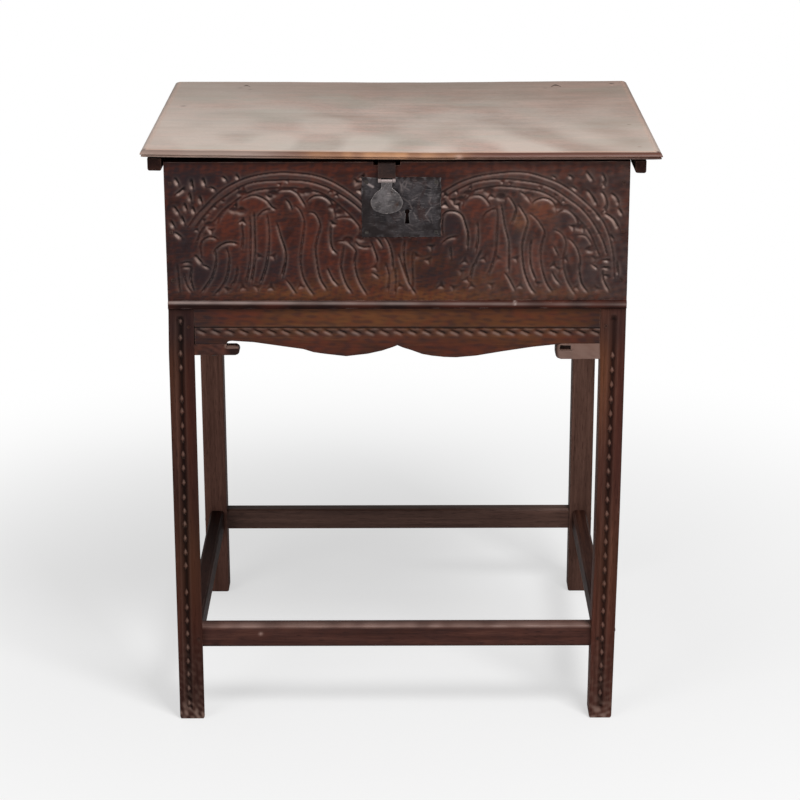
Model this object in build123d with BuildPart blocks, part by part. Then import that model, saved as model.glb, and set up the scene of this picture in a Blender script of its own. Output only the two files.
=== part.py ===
from build123d import *
import math
import os

# A joined oak stand carries a nailed oak box with a carved front. The box has a
# lid on wire loop hinges, and an iron lock plate with a hanging hasp.
# X runs to the right, Y to the back and Z up. The origin is on the floor under
# the middle of the lid. All lengths are in millimetres, all angles in degrees.

# ---------------------------------------------------------------- driving sizes
# Stand
stand_height = 633
leg_side = 36
foot_chamfer = 2.5
arris = 1
channel_width = 11
channel_depth = 3
channel_margin = 18
rail_thickness = 22
rail_setback = 1
rail_height = 52
apron_cusp_rise = 55.5
apron_lobe_reach = 80
apron_lobe_drop = 73
apron_flat = 60
apron_cusp_lean = 0.45
spur_length = 63
spur_height = 18
spur_thickness = 18
spur_nose = 13
spur_slot = 3
stretcher_top = 146
stretcher_height = 34
stretcher_thickness = 22
stretcher_setback = 9
stretcher_chamfer = 3
tenon_thickness = 9
tenon_shoulder = 5
long_tenon = 24
short_tenon = 11
joint_clearance = 0.2
peg_radius = 2.5
peg_length = 26
peg_proud = 0.5
peg_shoulder = 8
peg_clearance = 0.05

# Box
box_width = 640
box_depth = 498
wall_height = 198
front_thickness = 18
side_thickness = 16
back_thickness = 16
bottom_thickness = 12
nosing = 4

# Lid
lid_thickness = 14
lid_shift = 6
lid_side_overhang = 36.5
lid_front_overhang = 13
lid_back_overhang = 7
moulding_width = 9
moulding_drop = 6.5
quirk_depth = 2.5
quirk_height = 1.5
bead_set_in = 1
cleat_thickness = 15
cleat_height = 18
cleat_chamfer = 4
cleat_gap = 7
cleat_setback = 8

# Wire hinges
hinge_end_margin = 114.5
hinge_inset = 1
hinge_wire = 1.5
hinge_gap = 0.3
box_loop_width = 12
clench_length = 12
clench_bend = 3
loop_bend = 2
shank_radius = 1.8
shank_angle = 30
point_length = 13
point_spread = 8
point_width = 3
point_root = 1
point_height = 0.8
hole_clearance = 0.1

# Lock plate and bolt
plate_width = 110
plate_height = 85
plate_thickness = 1.2
plate_let_in = 0.6
plate_drop = 64
plate_nail_inset = 7
keyhole_x = 8
keyhole_width = 7
keyhole_height = 21
keyhole_drop = 66.5
keyhole_slot = 4.8
bolt_thickness = 2
bolt_height = 10
bolt_toe_height = 3.6
bolt_toe_length = 9.5
bolt_body_length = 50
bolt_clearance = 0.3
talon_radius = 4
guide_width = 4
guide_metal = 1.5
left_guide_x = -3
right_guide_x = 28.5
spring_metal = 1.2
spring_depth = 3
spring_rise = 11
spring_foot_length = 4
lock_sink_margin = 6
lock_sink_depth = 9
rivet_radius = 2.2
rivet_shank_radius = 1.1
rivet_proud = 0.7

# Hasp and its strap
hasp_x = -20
strap_width = 24
strap_metal = 2
strap_length = 70
strap_notch_margin = 7
strap_notch_depth = 5
knuckle_radius = 2.5
knuckle_gap = 0.4
knuckle_drop = 26
strap_cutout_rise = 4.5
strap_nail_margin = 15
hasp_knuckle_length = 15
hasp_pin_radius = 1.2
pin_clearance = 0.05
hasp_metal = 2
hasp_neck = 7.5
hasp_neck_drop = 9
hasp_neck_flare = 0.3
hasp_bulb = 22
hasp_bulb_drop = 31
hasp_length = 45
hasp_rest_angle = 9.5
staple_top = 34
staple_height = 7
staple_metal = 1.4
staple_width = 1.8
staple_play = 0.8

# Nails
nail_radius = 1.4
nail_head = 5
nail_head_height = 0.8
nail_length = 34
short_nail_length = 11
cleat_nail_length = 26
nail_clearance = 0.05
corner_nail_count = 3
corner_nail_margin = 30
cleat_nail_count = 4
cleat_nail_margin = 20
bottom_nail_margin = 90

# ---------------------------------------------------------------- derived places
# The stand has the box's width and depth, and the lid reaches past the box.
stand_width = box_width
stand_depth = box_depth
lid_width = box_width + 2 * lid_side_overhang
lid_depth = lid_front_overhang + box_depth + lid_back_overhang
front_y = -lid_depth / 2 + lid_front_overhang
back_y = front_y + box_depth
body_x = -lid_shift
stand_middle_y = front_y + stand_depth / 2
wall_bottom = stand_height + bottom_thickness
wall_top = wall_bottom + wall_height
lid_top = wall_top + lid_thickness
hinge_y = back_y + hinge_inset
hinge_z = wall_top - hinge_inset
ring_radius = 2 * hinge_wire + hinge_gap
notch_radius = ring_radius + hinge_wire + 2 * hinge_gap
plate_middle = wall_top - plate_drop
keyhole_top = wall_top - keyhole_drop
plate_front = front_y - (plate_thickness - plate_let_in)
plate_back = plate_front + plate_thickness
bolt_front = plate_back + bolt_clearance
bolt_back = bolt_front + bolt_thickness
hasp_axis_y = plate_front - knuckle_radius - bolt_clearance
hasp_axis_z = wall_top - knuckle_drop
bolt_z = hasp_axis_z - staple_top - staple_height / 2
staple_reach = bolt_back + bolt_clearance + staple_metal - hasp_axis_y - hasp_metal / 2
bolt_toe_x = hasp_x + staple_width / 2 + 2 * staple_play
bolt_body_x = bolt_toe_x + bolt_toe_length
bolt_end_x = bolt_body_x + bolt_body_length

os.makedirs("parts", exist_ok=True)


def save(piece, name):
    """Label a finished piece and write its STEP file."""
    piece.part.label = name
    export_step(piece.part, f"parts/{name}.step")


def facing(x, y, z, outward):
    """A plane at a point, with its normal pointing outward."""
    return Plane(origin=(x, y, z), z_dir=outward)


# ---------------------------------------------------------------- nails and pegs
def add_nails(places, length):
    """Square-headed nails: each head lies on its plane, each shank runs inward."""
    with Locations(*places):
        Box(nail_head, nail_head, nail_head_height, align=(Align.CENTER, Align.CENTER, Align.MIN))
        Cylinder(nail_radius, length, align=(Align.CENTER, Align.CENTER, Align.MAX))


def cut_nail_holes(places, length):
    """Holes for add_nails, a little wider and deeper than the shanks."""
    with Locations(*places):
        Cylinder(
            nail_radius + nail_clearance,
            length + nail_clearance,
            align=(Align.CENTER, Align.CENTER, Align.MAX),
            mode=Mode.SUBTRACT,
        )


def cut_head_pockets(places):
    """Shallow square pockets that take the heads of add_nails flush."""
    with Locations(*places):
        Box(
            nail_head + 2 * nail_clearance,
            nail_head + 2 * nail_clearance,
            nail_head_height,
            align=(Align.CENTER, Align.CENTER, Align.MIN),
            mode=Mode.SUBTRACT,
        )


def spread(first, last, count):
    """Evenly spaced values from first to last."""
    step = (last - first) / (count - 1)
    return [first + step * index for index in range(count)]


corner_nail_heights = spread(
    wall_bottom + corner_nail_margin, wall_top - corner_nail_margin, corner_nail_count
)
corner_nail_xs = [
    body_x - box_width / 2 + side_thickness / 2,
    body_x + box_width / 2 - side_thickness / 2,
]
front_nail_places = [facing(x, front_y, z, (0, -1, 0)) for x in corner_nail_xs for z in corner_nail_heights]
back_nail_places = [facing(x, back_y, z, (0, 1, 0)) for x in corner_nail_xs for z in corner_nail_heights]

bottom_nail_xs = spread(
    body_x - box_width / 2 + bottom_nail_margin, body_x + box_width / 2 - bottom_nail_margin, 3
)
bottom_nail_ys = [front_y + front_thickness / 2, back_y - back_thickness / 2]
side_nail_ys = spread(front_y + bottom_nail_margin, back_y - bottom_nail_margin, 3)
bottom_nail_z = stand_height + nail_head_height
bottom_nail_places = [facing(x, y, bottom_nail_z, (0, 0, -1)) for x in bottom_nail_xs for y in bottom_nail_ys]
bottom_nail_places += [facing(x, y, bottom_nail_z, (0, 0, -1)) for x in corner_nail_xs for y in side_nail_ys]

cleat_centre = box_width / 2 + cleat_gap + cleat_thickness / 2
cleat_front_y = front_y + cleat_setback
cleat_back_y = back_y - cleat_setback
cleat_nail_ys = spread(
    cleat_front_y + cleat_nail_margin, cleat_back_y - cleat_nail_margin, cleat_nail_count
)
cleat_nail_places = [
    facing(body_x + side * cleat_centre, y, lid_top - nail_head_height, (0, 0, 1))
    for side in (-1, 1)
    for y in cleat_nail_ys
]

plate_nail_reach_x = plate_width / 2 - plate_nail_inset
plate_nail_reach_z = plate_height / 2 - plate_nail_inset
plate_nail_places = [
    facing(side * plate_nail_reach_x, plate_front, plate_middle + level * plate_nail_reach_z, (0, -1, 0))
    for side in (-1, 1)
    for level in (-1, 1)
]

apron_front_y = front_y + rail_setback
apron_end = stand_width / 2 - leg_side
apron_end_bottom = stand_height - rail_height
spur_drop = apron_end_bottom - spur_height
spur_nose_radius = (spur_height - spur_slot) / 2
spur_nail_x = apron_end - (spur_length - spur_nose) / 2
spur_nail_places = [
    facing(body_x + side * spur_nail_x, apron_front_y + spur_thickness / 2, spur_drop, (0, 0, -1))
    for side in (-1, 1)
]

strap_back_y = front_y + strap_length
strap_nail_ys = [front_y + front_thickness + strap_nail_margin, strap_back_y - strap_nail_margin]
strap_nail_places = [facing(hasp_x, y, wall_top - strap_metal, (0, 0, -1)) for y in strap_nail_ys]


def make_nails(name, places, length):
    """All the nails of one kind, as one group of separate solids."""
    with BuildPart() as nails:
        add_nails(places, length)
    save(nails, name)


make_nails("carcass_nails", front_nail_places + back_nail_places, nail_length)
make_nails("bottom_nails", bottom_nail_places, nail_length)
make_nails("cleat_nails", cleat_nail_places, cleat_nail_length)
make_nails("lock_plate_nails", plate_nail_places, short_nail_length)
make_nails("hasp_strap_nails", strap_nail_places, short_nail_length)
make_nails("spur_nails", spur_nail_places, nail_length)

# ---------------------------------------------------------------- stand members
# Each member is known by its level (top rails or stretchers) and by the side of
# the stand that it closes. Its centre line is measured from the outside.
top_line = rail_setback + rail_thickness / 2
stretcher_line = stretcher_setback + stretcher_thickness / 2
rail_middle = stand_height - rail_height / 2
stretcher_middle = stretcher_top - stretcher_height / 2
rail_tenon = rail_height - 2 * tenon_shoulder
stretcher_tenon = stretcher_height - 2 * tenon_shoulder
levels = [
    (top_line, rail_middle, rail_tenon),
    (stretcher_line, stretcher_middle, stretcher_tenon),
]
x_shoulder_length = stand_width - 2 * leg_side
y_shoulder_length = stand_depth - 2 * leg_side


def outer_x(x_side):
    """The stand's left (-1) or right (1) outer face."""
    return body_x + x_side * stand_width / 2


def outer_y(y_side):
    """The stand's front (-1) or back (1) outer face."""
    return stand_middle_y + y_side * stand_depth / 2


def long_peg(x_side, y_side, middle):
    """Peg through the leg into the tenon of a front or back member."""
    x = outer_x(x_side) - x_side * (leg_side - peg_shoulder)
    return facing(x, outer_y(y_side), middle, (0, y_side, 0))


def short_peg(x_side, y_side, middle):
    """Peg through the leg into the tenon of a side member."""
    y = outer_y(y_side) - y_side * (leg_side - short_tenon / 2)
    return facing(outer_x(x_side), y, middle, (x_side, 0, 0))


def cut_peg_holes(places):
    """Peg holes from the outer face inward."""
    with Locations(*places):
        Cylinder(
            peg_radius + peg_clearance,
            peg_length + peg_clearance,
            align=(Align.CENTER, Align.CENTER, Align.MAX),
            mode=Mode.SUBTRACT,
        )


def make_pegs(name, middle):
    """All the pegs of one level, each a little proud of its leg."""
    places = [long_peg(x_side, y_side, middle) for x_side in (-1, 1) for y_side in (-1, 1)]
    places += [short_peg(x_side, y_side, middle) for x_side in (-1, 1) for y_side in (-1, 1)]
    with BuildPart() as pegs:
        with Locations(*[place.offset(peg_proud) for place in places]):
            Cylinder(peg_radius, peg_length + peg_proud, align=(Align.CENTER, Align.CENTER, Align.MAX))
    save(pegs, name)


make_pegs("top_joint_pegs", rail_middle)
make_pegs("stretcher_joint_pegs", stretcher_middle)


def make_leg(name, x_side, y_side):
    """A square leg with four mortises; a front leg has a channel down its face."""
    centre_x = outer_x(x_side) - x_side * leg_side / 2
    centre_y = outer_y(y_side) - y_side * leg_side / 2
    inner_x = outer_x(x_side) - x_side * leg_side
    inner_y = outer_y(y_side) - y_side * leg_side
    long_depth = long_tenon + joint_clearance
    short_depth = short_tenon + joint_clearance
    mortise_width = tenon_thickness + 2 * joint_clearance
    with BuildPart() as leg:
        with BuildSketch(Plane.XY):
            with Locations((centre_x, centre_y)):
                Rectangle(leg_side, leg_side)
        extrude(amount=stand_height)
        chamfer(leg.faces().sort_by(Axis.Z)[0].edges(), length=foot_chamfer)
        chamfer(leg.edges().filter_by(Axis.Z), length=arris)
        for line, middle, tenon in levels:
            mortise_height = tenon + 2 * joint_clearance
            with Locations((inner_x + x_side * long_depth / 2, outer_y(y_side) - y_side * line, middle)):
                Box(long_depth, mortise_width, mortise_height, mode=Mode.SUBTRACT)
            with Locations((outer_x(x_side) - x_side * line, inner_y + y_side * short_depth / 2, middle)):
                Box(mortise_width, short_depth, mortise_height, mode=Mode.SUBTRACT)
            cut_peg_holes([long_peg(x_side, y_side, middle), short_peg(x_side, y_side, middle)])
        if y_side < 0:
            with BuildSketch(Plane.XY.offset(channel_margin)):
                with BuildLine():
                    Polyline(
                        (centre_x - channel_width / 2, front_y),
                        (centre_x, front_y + channel_depth),
                        (centre_x + channel_width / 2, front_y),
                        close=True,
                    )
                make_face()
            extrude(amount=stand_height - 2 * channel_margin, mode=Mode.SUBTRACT)
    save(leg, name)


make_leg("front_left_leg", -1, -1)
make_leg("front_right_leg", 1, -1)
make_leg("back_left_leg", -1, 1)
make_leg("back_right_leg", 1, 1)


def member_plane(x, y, middle, along_x):
    """The middle cross-section of a member that runs along X, or else along Y."""
    if along_x:
        return Plane(origin=(x, y, middle), x_dir=(0, 1, 0), z_dir=(1, 0, 0))
    return Plane(origin=(x, y, middle), x_dir=(-1, 0, 0), z_dir=(0, 1, 0))


def make_member(name, side, along_x, line, middle, thickness, height, tenon, top_chamfer):
    """A straight rail or stretcher with a tenon at each end."""
    if along_x:
        plane = member_plane(body_x, outer_y(side) - side * line, middle, True)
        shoulder_length = x_shoulder_length
        tenon_length = long_tenon
        pegs = [long_peg(x_side, side, middle) for x_side in (-1, 1)]
    else:
        plane = member_plane(outer_x(side) - side * line, stand_middle_y, middle, False)
        shoulder_length = y_shoulder_length
        tenon_length = short_tenon
        pegs = [short_peg(side, y_side, middle) for y_side in (-1, 1)]
    run = Axis.X if along_x else Axis.Y
    with BuildPart() as member:
        with BuildSketch(plane):
            Rectangle(thickness, height)
        extrude(amount=shoulder_length / 2, both=True)
        chamfer(member.edges().filter_by(run).group_by(Axis.Z)[-1], length=top_chamfer)
        chamfer(member.edges().filter_by(run).group_by(Axis.Z)[0], length=arris)
        with BuildSketch(plane):
            Rectangle(tenon_thickness, tenon)
        extrude(amount=shoulder_length / 2 + tenon_length, both=True)
        cut_peg_holes(pegs)
    save(member, name)


rail = (top_line, rail_middle, rail_thickness, rail_height, rail_tenon, arris)
stretcher = (
    stretcher_line,
    stretcher_middle,
    stretcher_thickness,
    stretcher_height,
    stretcher_tenon,
    stretcher_chamfer,
)
make_member("back_rail", 1, True, *rail)
make_member("left_rail", -1, False, *rail)
make_member("right_rail", 1, False, *rail)
make_member("front_stretcher", -1, True, *stretcher)
make_member("back_stretcher", 1, True, *stretcher)
make_member("left_stretcher", -1, False, *stretcher)
make_member("right_stretcher", 1, False, *stretcher)

# ---------------------------------------------------------------- front apron
# Drawn as seen from the front, from the middle of the stand. The lower edge
# sags to a lobe on each side and meets in a cusp in the middle.
apron_front = Plane(origin=(body_x, apron_front_y, 0), x_dir=(1, 0, 0), z_dir=(0, -1, 0))
apron_cusp = (0, stand_height - apron_cusp_rise)
apron_lobe = (apron_lobe_reach, stand_height - apron_lobe_drop)
apron_turn = (apron_end - apron_flat, apron_end_bottom)

with BuildPart() as front_apron:
    with BuildSketch(apron_front):
        with BuildLine():
            Line((0, stand_height), (apron_end, stand_height))
            Line((apron_end, stand_height), (apron_end, apron_end_bottom))
            Line((apron_end, apron_end_bottom), apron_turn)
            Spline(apron_turn, apron_lobe, tangents=((-1, 0), (-1, 0)))
            Spline(apron_lobe, apron_cusp, tangents=((-1, 0), (-apron_cusp_lean, 1)))
            Line(apron_cusp, (0, stand_height))
        make_face()
        mirror(about=Plane.YZ)
    extrude(amount=-rail_thickness)
    with BuildSketch(member_plane(body_x, front_y + top_line, rail_middle, True)):
        Rectangle(tenon_thickness, rail_tenon)
    extrude(amount=x_shoulder_length / 2 + long_tenon, both=True)
    cut_peg_holes([long_peg(x_side, -1, rail_middle) for x_side in (-1, 1)])
    cut_nail_holes(spur_nail_places, nail_length)
save(front_apron, "front_apron")

# ---------------------------------------------------------------- apron spurs
# Each spur hugs the leg and the underside of the apron. Its free end is a round
# nose with a narrow slot above it.


def make_spur(name, side):
    with BuildPart() as spur:
        with BuildSketch(apron_front):
            with BuildLine():
                Polyline(
                    (side * apron_end, apron_end_bottom),
                    (side * (apron_end - spur_length + spur_nose), apron_end_bottom),
                    (side * (apron_end - spur_length + spur_nose), apron_end_bottom - spur_slot),
                    (side * (apron_end - spur_length + spur_nose_radius), apron_end_bottom - spur_slot),
                )
                ThreePointArc(
                    (side * (apron_end - spur_length + spur_nose_radius), apron_end_bottom - spur_slot),
                    (side * (apron_end - spur_length), spur_drop + spur_nose_radius),
                    (side * (apron_end - spur_length + spur_nose_radius), spur_drop),
                )
                Polyline(
                    (side * (apron_end - spur_length + spur_nose_radius), spur_drop),
                    (side * apron_end, spur_drop),
                    (side * apron_end, apron_end_bottom),
                )
            make_face()
        extrude(amount=-spur_thickness)
        cut_nail_holes(spur_nail_places, nail_length)
    save(spur, name)


make_spur("left_spur", -1)
make_spur("right_spur", 1)

# ---------------------------------------------------------------- wire hinges
# Two loops of wire turn in each other. The box loop is a staple: its bar is the
# hinge line, and its legs run down through the back board and are clenched
# inside. The lid loop is a ring round that bar, on a shank through the lid.
hinge_reach = lid_width / 2 - hinge_end_margin
hinge_xs = {"left": -hinge_reach, "right": hinge_reach}
leg_offset = box_loop_width / 2
clench_line = hinge_inset + back_thickness + hinge_wire + hole_clearance
clench_foot = clench_line + clench_length
shank_direction = (0, -math.cos(math.radians(shank_angle)), math.sin(math.radians(shank_angle)))
shank_rise = hinge_inset + lid_thickness
shank_run = shank_rise / math.tan(math.radians(shank_angle))
shank_length = shank_rise / math.sin(math.radians(shank_angle))
notch_width = box_loop_width + 2 * hinge_wire + 2 * hinge_gap


def hinge_plane(x):
    """Cross-section plane of the hinge line: local X to the back, local Y up."""
    return Plane(origin=(x, hinge_y, hinge_z), x_dir=(0, 1, 0), z_dir=(1, 0, 0))


def cut_loop_notch(x):
    """The round notch that lets a pair of loops turn."""
    with BuildSketch(hinge_plane(x)) as notch:
        Circle(notch_radius)
    extrude(notch.sketch, amount=notch_width / 2, both=True, mode=Mode.SUBTRACT)


def cut_box_loop_holes(x):
    """Two slanting holes for the legs of a box loop."""
    for side in (-1, 1):
        slant = Plane(origin=(x + side * leg_offset, hinge_y, hinge_z), z_dir=(0, -1, -1))
        with BuildSketch(slant) as hole:
            Circle(hinge_wire + hole_clearance)
        extrude(hole.sketch, amount=2 * clench_line, mode=Mode.SUBTRACT)


def cut_lid_loop_hole(x):
    """One slanting hole for the shank of a lid loop."""
    with BuildSketch(Plane(origin=(x, hinge_y, hinge_z), z_dir=shank_direction)) as hole:
        Circle(shank_radius + hole_clearance)
    extrude(hole.sketch, amount=shank_length + lid_thickness, mode=Mode.SUBTRACT)


def make_box_loop(name, x):
    def place(side, back, up):
        return (x + side * leg_offset, hinge_y + back, hinge_z + up)

    with BuildPart() as loop:
        with BuildLine() as wire:
            FilletPolyline(
                place(-1, -clench_line, -clench_foot),
                place(-1, -clench_line, -clench_line),
                place(-1, 0, 0),
                place(1, 0, 0),
                place(1, -clench_line, -clench_line),
                place(1, -clench_line, -clench_foot),
                radius=(clench_bend, loop_bend, loop_bend, clench_bend),
            )
        with BuildSketch(Plane(origin=wire.line @ 0, z_dir=wire.line % 0)):
            Circle(hinge_wire)
        sweep()
    save(loop, name)


def point_outlines(x):
    """The two clenched points of a lid loop, splayed on their pocket's floor."""
    start_y = hinge_y - shank_run
    with BuildSketch(Plane.XY.offset(lid_top - point_height)) as outlines:
        for side in (-1, 1):
            with BuildLine():
                Polyline(
                    (x - side * point_root, start_y),
                    (x + side * point_width / 2, start_y + point_width),
                    (x + side * point_spread, start_y - point_length),
                    close=True,
                )
            make_face()
    return outlines


def cut_point_pockets(x):
    """Pockets that take a lid loop's points flush with the lid's top."""
    pockets = point_outlines(x)
    extrude(pockets.sketch, amount=point_height, mode=Mode.SUBTRACT)


def make_lid_loop(name, x):
    with BuildPart() as loop:
        with Locations(Location((x, hinge_y, hinge_z), (0, 90, 0))):
            Torus(ring_radius, hinge_wire)
        with BuildSketch(Plane(origin=(x, hinge_y, hinge_z), z_dir=shank_direction).offset(ring_radius)):
            Circle(shank_radius)
        extrude(amount=shank_length)
        split(bisect_by=Plane.XY.offset(lid_top), keep=Keep.BOTTOM)
        points = point_outlines(x)
        extrude(points.sketch, amount=point_height)
    save(loop, name)


for side_name, hinge_x in hinge_xs.items():
    make_box_loop(f"{side_name}_box_loop", hinge_x)
    make_lid_loop(f"{side_name}_lid_loop", hinge_x)

# ---------------------------------------------------------------- box boards
plate_sink_width = plate_width + 2 * joint_clearance
plate_sink_height = plate_height + 2 * joint_clearance
lock_sink_left = hasp_x - lock_sink_margin - staple_width
lock_sink_right = bolt_end_x + lock_sink_margin
lock_sink_top = bolt_z + bolt_height / 2 + spring_rise + lock_sink_margin
lock_sink_bottom = keyhole_top - keyhole_height - lock_sink_margin
strap_notch_width = strap_width + 2 * strap_notch_margin
front_plane = Plane(origin=(0, front_y, 0), x_dir=(1, 0, 0), z_dir=(0, -1, 0))


def start_wall(middle_x, middle_wall_y, width, thickness):
    """A plain upright board between the bottom board and the lid."""
    with BuildSketch(Plane.XY.offset(wall_bottom)) as outline:
        with Locations((middle_x, middle_wall_y)):
            Rectangle(width, thickness)
    extrude(outline.sketch, amount=wall_height)


with BuildPart() as front_board:
    start_wall(body_x, front_y + front_thickness / 2, box_width, front_thickness)
    with BuildSketch(front_plane):
        with Locations((0, plate_middle)):
            Rectangle(plate_sink_width, plate_sink_height)
    extrude(amount=-plate_let_in, mode=Mode.SUBTRACT)
    with BuildSketch(front_plane):
        with Locations(((lock_sink_left + lock_sink_right) / 2, (lock_sink_top + lock_sink_bottom) / 2)):
            Rectangle(lock_sink_right - lock_sink_left, lock_sink_top - lock_sink_bottom)
    extrude(amount=-lock_sink_depth, mode=Mode.SUBTRACT)
    with BuildSketch(front_plane):
        with Locations((hasp_x, wall_top - strap_notch_depth / 2)):
            Rectangle(strap_notch_width, strap_notch_depth)
    extrude(amount=-front_thickness, mode=Mode.SUBTRACT)
    cut_nail_holes(front_nail_places, nail_length)
    cut_nail_holes(bottom_nail_places, nail_length)
    cut_nail_holes(plate_nail_places, short_nail_length)
save(front_board, "front_board")

with BuildPart() as back_board:
    start_wall(body_x, back_y - back_thickness / 2, box_width, back_thickness)
    cut_nail_holes(back_nail_places, nail_length)
    cut_nail_holes(bottom_nail_places, nail_length)
    for hinge_x in hinge_xs.values():
        cut_loop_notch(hinge_x)
        cut_box_loop_holes(hinge_x)
save(back_board, "back_board")

inner_front_y = front_y + front_thickness
inner_back_y = back_y - back_thickness
for side_name, wall_x in zip(("left", "right"), corner_nail_xs):
    with BuildPart() as side_board:
        start_wall(wall_x, (inner_front_y + inner_back_y) / 2, side_thickness, inner_back_y - inner_front_y)
        cut_nail_holes(front_nail_places + back_nail_places, nail_length)
        cut_nail_holes(bottom_nail_places, nail_length)
    save(side_board, f"{side_name}_side_board")

with BuildPart() as bottom_board:
    with BuildSketch(Plane.XY.offset(stand_height)):
        with Locations((body_x, (front_y - nosing + back_y) / 2)):
            Rectangle(box_width, box_depth + nosing)
    extrude(amount=bottom_thickness)
    nose_edges = bottom_board.faces().sort_by(Axis.Y)[0].edges().filter_by(Axis.X)
    fillet(nose_edges, radius=nosing)
    cut_nail_holes(bottom_nail_places, nail_length)
    cut_head_pockets(bottom_nail_places)
save(bottom_board, "bottom_board")

# ---------------------------------------------------------------- lid
# The moulding is worked on the front and both ends: a wide ovolo above, a quirk
# below its nose, and a small bead at the bottom. The back edge is plain.
lid_left = -lid_width / 2
lid_right = lid_width / 2
lid_front = -lid_depth / 2
lid_back = lid_depth / 2
nose_z = lid_top - moulding_drop
quirk_z = nose_z - quirk_height
bead_radius = (quirk_z - wall_top) / 2
bead_x = -bead_set_in - bead_radius
quirk_y = quirk_z - lid_top
cutter_margin = 1

with BuildPart() as lid_board:
    with BuildSketch(Plane.XY.offset(wall_top)):
        Rectangle(lid_width, lid_depth)
    extrude(amount=lid_thickness)
    with BuildLine() as moulded_edges:
        Polyline(
            (lid_left, lid_back, lid_top),
            (lid_left, lid_front, lid_top),
            (lid_right, lid_front, lid_top),
            (lid_right, lid_back, lid_top),
        )
    # Local X points out of the lid's left edge, and local Y points up.
    with BuildSketch(Plane(origin=(lid_left, lid_back, lid_top), x_dir=(-1, 0, 0), z_dir=(0, 1, 0))):
        with BuildLine():
            EllipticalCenterArc(
                (-moulding_width, -moulding_drop), moulding_width, moulding_drop, start_angle=0, arc_size=90
            )
            Polyline(
                (0, -moulding_drop),
                (-quirk_depth, -moulding_drop - quirk_height / 2),
                (bead_x, quirk_y),
            )
            ThreePointArc((bead_x, quirk_y), (-bead_set_in, quirk_y - bead_radius), (bead_x, -lid_thickness))
            Polyline(
                (bead_x, -lid_thickness),
                (cutter_margin, -lid_thickness),
                (cutter_margin, 0),
                (-moulding_width, 0),
            )
        make_face()
    sweep(path=moulded_edges.line, transition=Transition.RIGHT, mode=Mode.SUBTRACT)
    cut_nail_holes(cleat_nail_places, cleat_nail_length)
    cut_head_pockets(cleat_nail_places)
    cut_nail_holes(strap_nail_places, short_nail_length)
    for hinge_x in hinge_xs.values():
        cut_loop_notch(hinge_x)
        cut_lid_loop_hole(hinge_x)
        cut_point_pockets(hinge_x)
save(lid_board, "lid_board")

for side_name, side in (("left", -1), ("right", 1)):
    with BuildPart() as cleat:
        with BuildSketch(Plane.XY.offset(wall_top)):
            with Locations((body_x + side * cleat_centre, (cleat_front_y + cleat_back_y) / 2)):
                Rectangle(cleat_thickness, cleat_back_y - cleat_front_y)
        extrude(amount=-cleat_height)
        chamfer(cleat.faces().sort_by(Axis.Z)[0].edges(), length=cleat_chamfer)
        cut_nail_holes(cleat_nail_places, cleat_nail_length)
    save(cleat, f"{side_name}_cleat")

# ---------------------------------------------------------------- lock
# Everything behind the plate is drawn from the front and grows towards the back.
plate_back_plane = Plane(origin=(0, plate_back, 0), x_dir=(1, 0, 0), z_dir=(0, -1, 0))
bolt_front_plane = Plane(origin=(0, bolt_front, 0), x_dir=(1, 0, 0), z_dir=(0, -1, 0))
slot_top = hasp_axis_z - staple_top + staple_play
slot_bottom = hasp_axis_z - staple_top - staple_height - 2 * staple_play
keyhole_round = keyhole_top - keyhole_width / 2
keyhole_bottom = keyhole_top - keyhole_height

with BuildPart() as lock_plate:
    with BuildSketch(plate_back_plane):
        with Locations((0, plate_middle)):
            Rectangle(plate_width, plate_height)
        with Locations((hasp_x, (slot_top + slot_bottom) / 2)):
            Rectangle(staple_width + 2 * staple_play, slot_top - slot_bottom, mode=Mode.SUBTRACT)
        with Locations((keyhole_x, keyhole_round)):
            Circle(keyhole_width / 2, mode=Mode.SUBTRACT)
        with Locations((keyhole_x, (keyhole_round + keyhole_bottom) / 2)):
            Rectangle(keyhole_slot, keyhole_round - keyhole_bottom, mode=Mode.SUBTRACT)
        with Locations((left_guide_x, bolt_z), (right_guide_x, bolt_z)):
            Circle(rivet_shank_radius + pin_clearance, mode=Mode.SUBTRACT)
    extrude(amount=plate_thickness)
    cut_nail_holes(plate_nail_places, short_nail_length)
save(lock_plate, "lock_plate")

with BuildPart() as lock_bolt:
    with BuildSketch(bolt_front_plane):
        with Locations(((bolt_body_x + bolt_end_x) / 2, bolt_z)):
            Rectangle(bolt_body_length, bolt_height)
        with Locations((bolt_toe_x + bolt_toe_length / 2, bolt_z)):
            Rectangle(bolt_toe_length, bolt_toe_height)
        with Locations((keyhole_x, bolt_z - bolt_height / 2)):
            Circle(talon_radius, mode=Mode.SUBTRACT)
    extrude(amount=-bolt_thickness)
save(lock_bolt, "lock_bolt")

# Each guide is a bridge over the bolt, with both feet on the plate.
guide_window_height = bolt_height + 2 * bolt_clearance
guide_window_depth = bolt_back + bolt_clearance - plate_back
with BuildPart() as bolt_guides:
    for guide_x in (left_guide_x, right_guide_x):
        with BuildSketch(Plane(origin=(guide_x, plate_back, bolt_z), x_dir=(0, 1, 0), z_dir=(1, 0, 0))):
            Rectangle(
                guide_window_depth + guide_metal,
                guide_window_height + 2 * guide_metal,
                align=(Align.MIN, Align.CENTER),
            )
            Rectangle(
                guide_window_depth,
                guide_window_height,
                align=(Align.MIN, Align.CENTER),
                mode=Mode.SUBTRACT,
            )
        extrude(amount=guide_width / 2, both=True)
save(bolt_guides, "bolt_guides")

with BuildPart() as guide_rivets:
    with Locations(*[facing(x, plate_front, bolt_z, (0, -1, 0)) for x in (left_guide_x, right_guide_x)]):
        Cylinder(rivet_radius, rivet_proud, align=(Align.CENTER, Align.CENTER, Align.MIN))
        Cylinder(rivet_shank_radius, plate_thickness, align=(Align.CENTER, Align.CENTER, Align.MAX))
save(guide_rivets, "guide_rivets")

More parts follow.
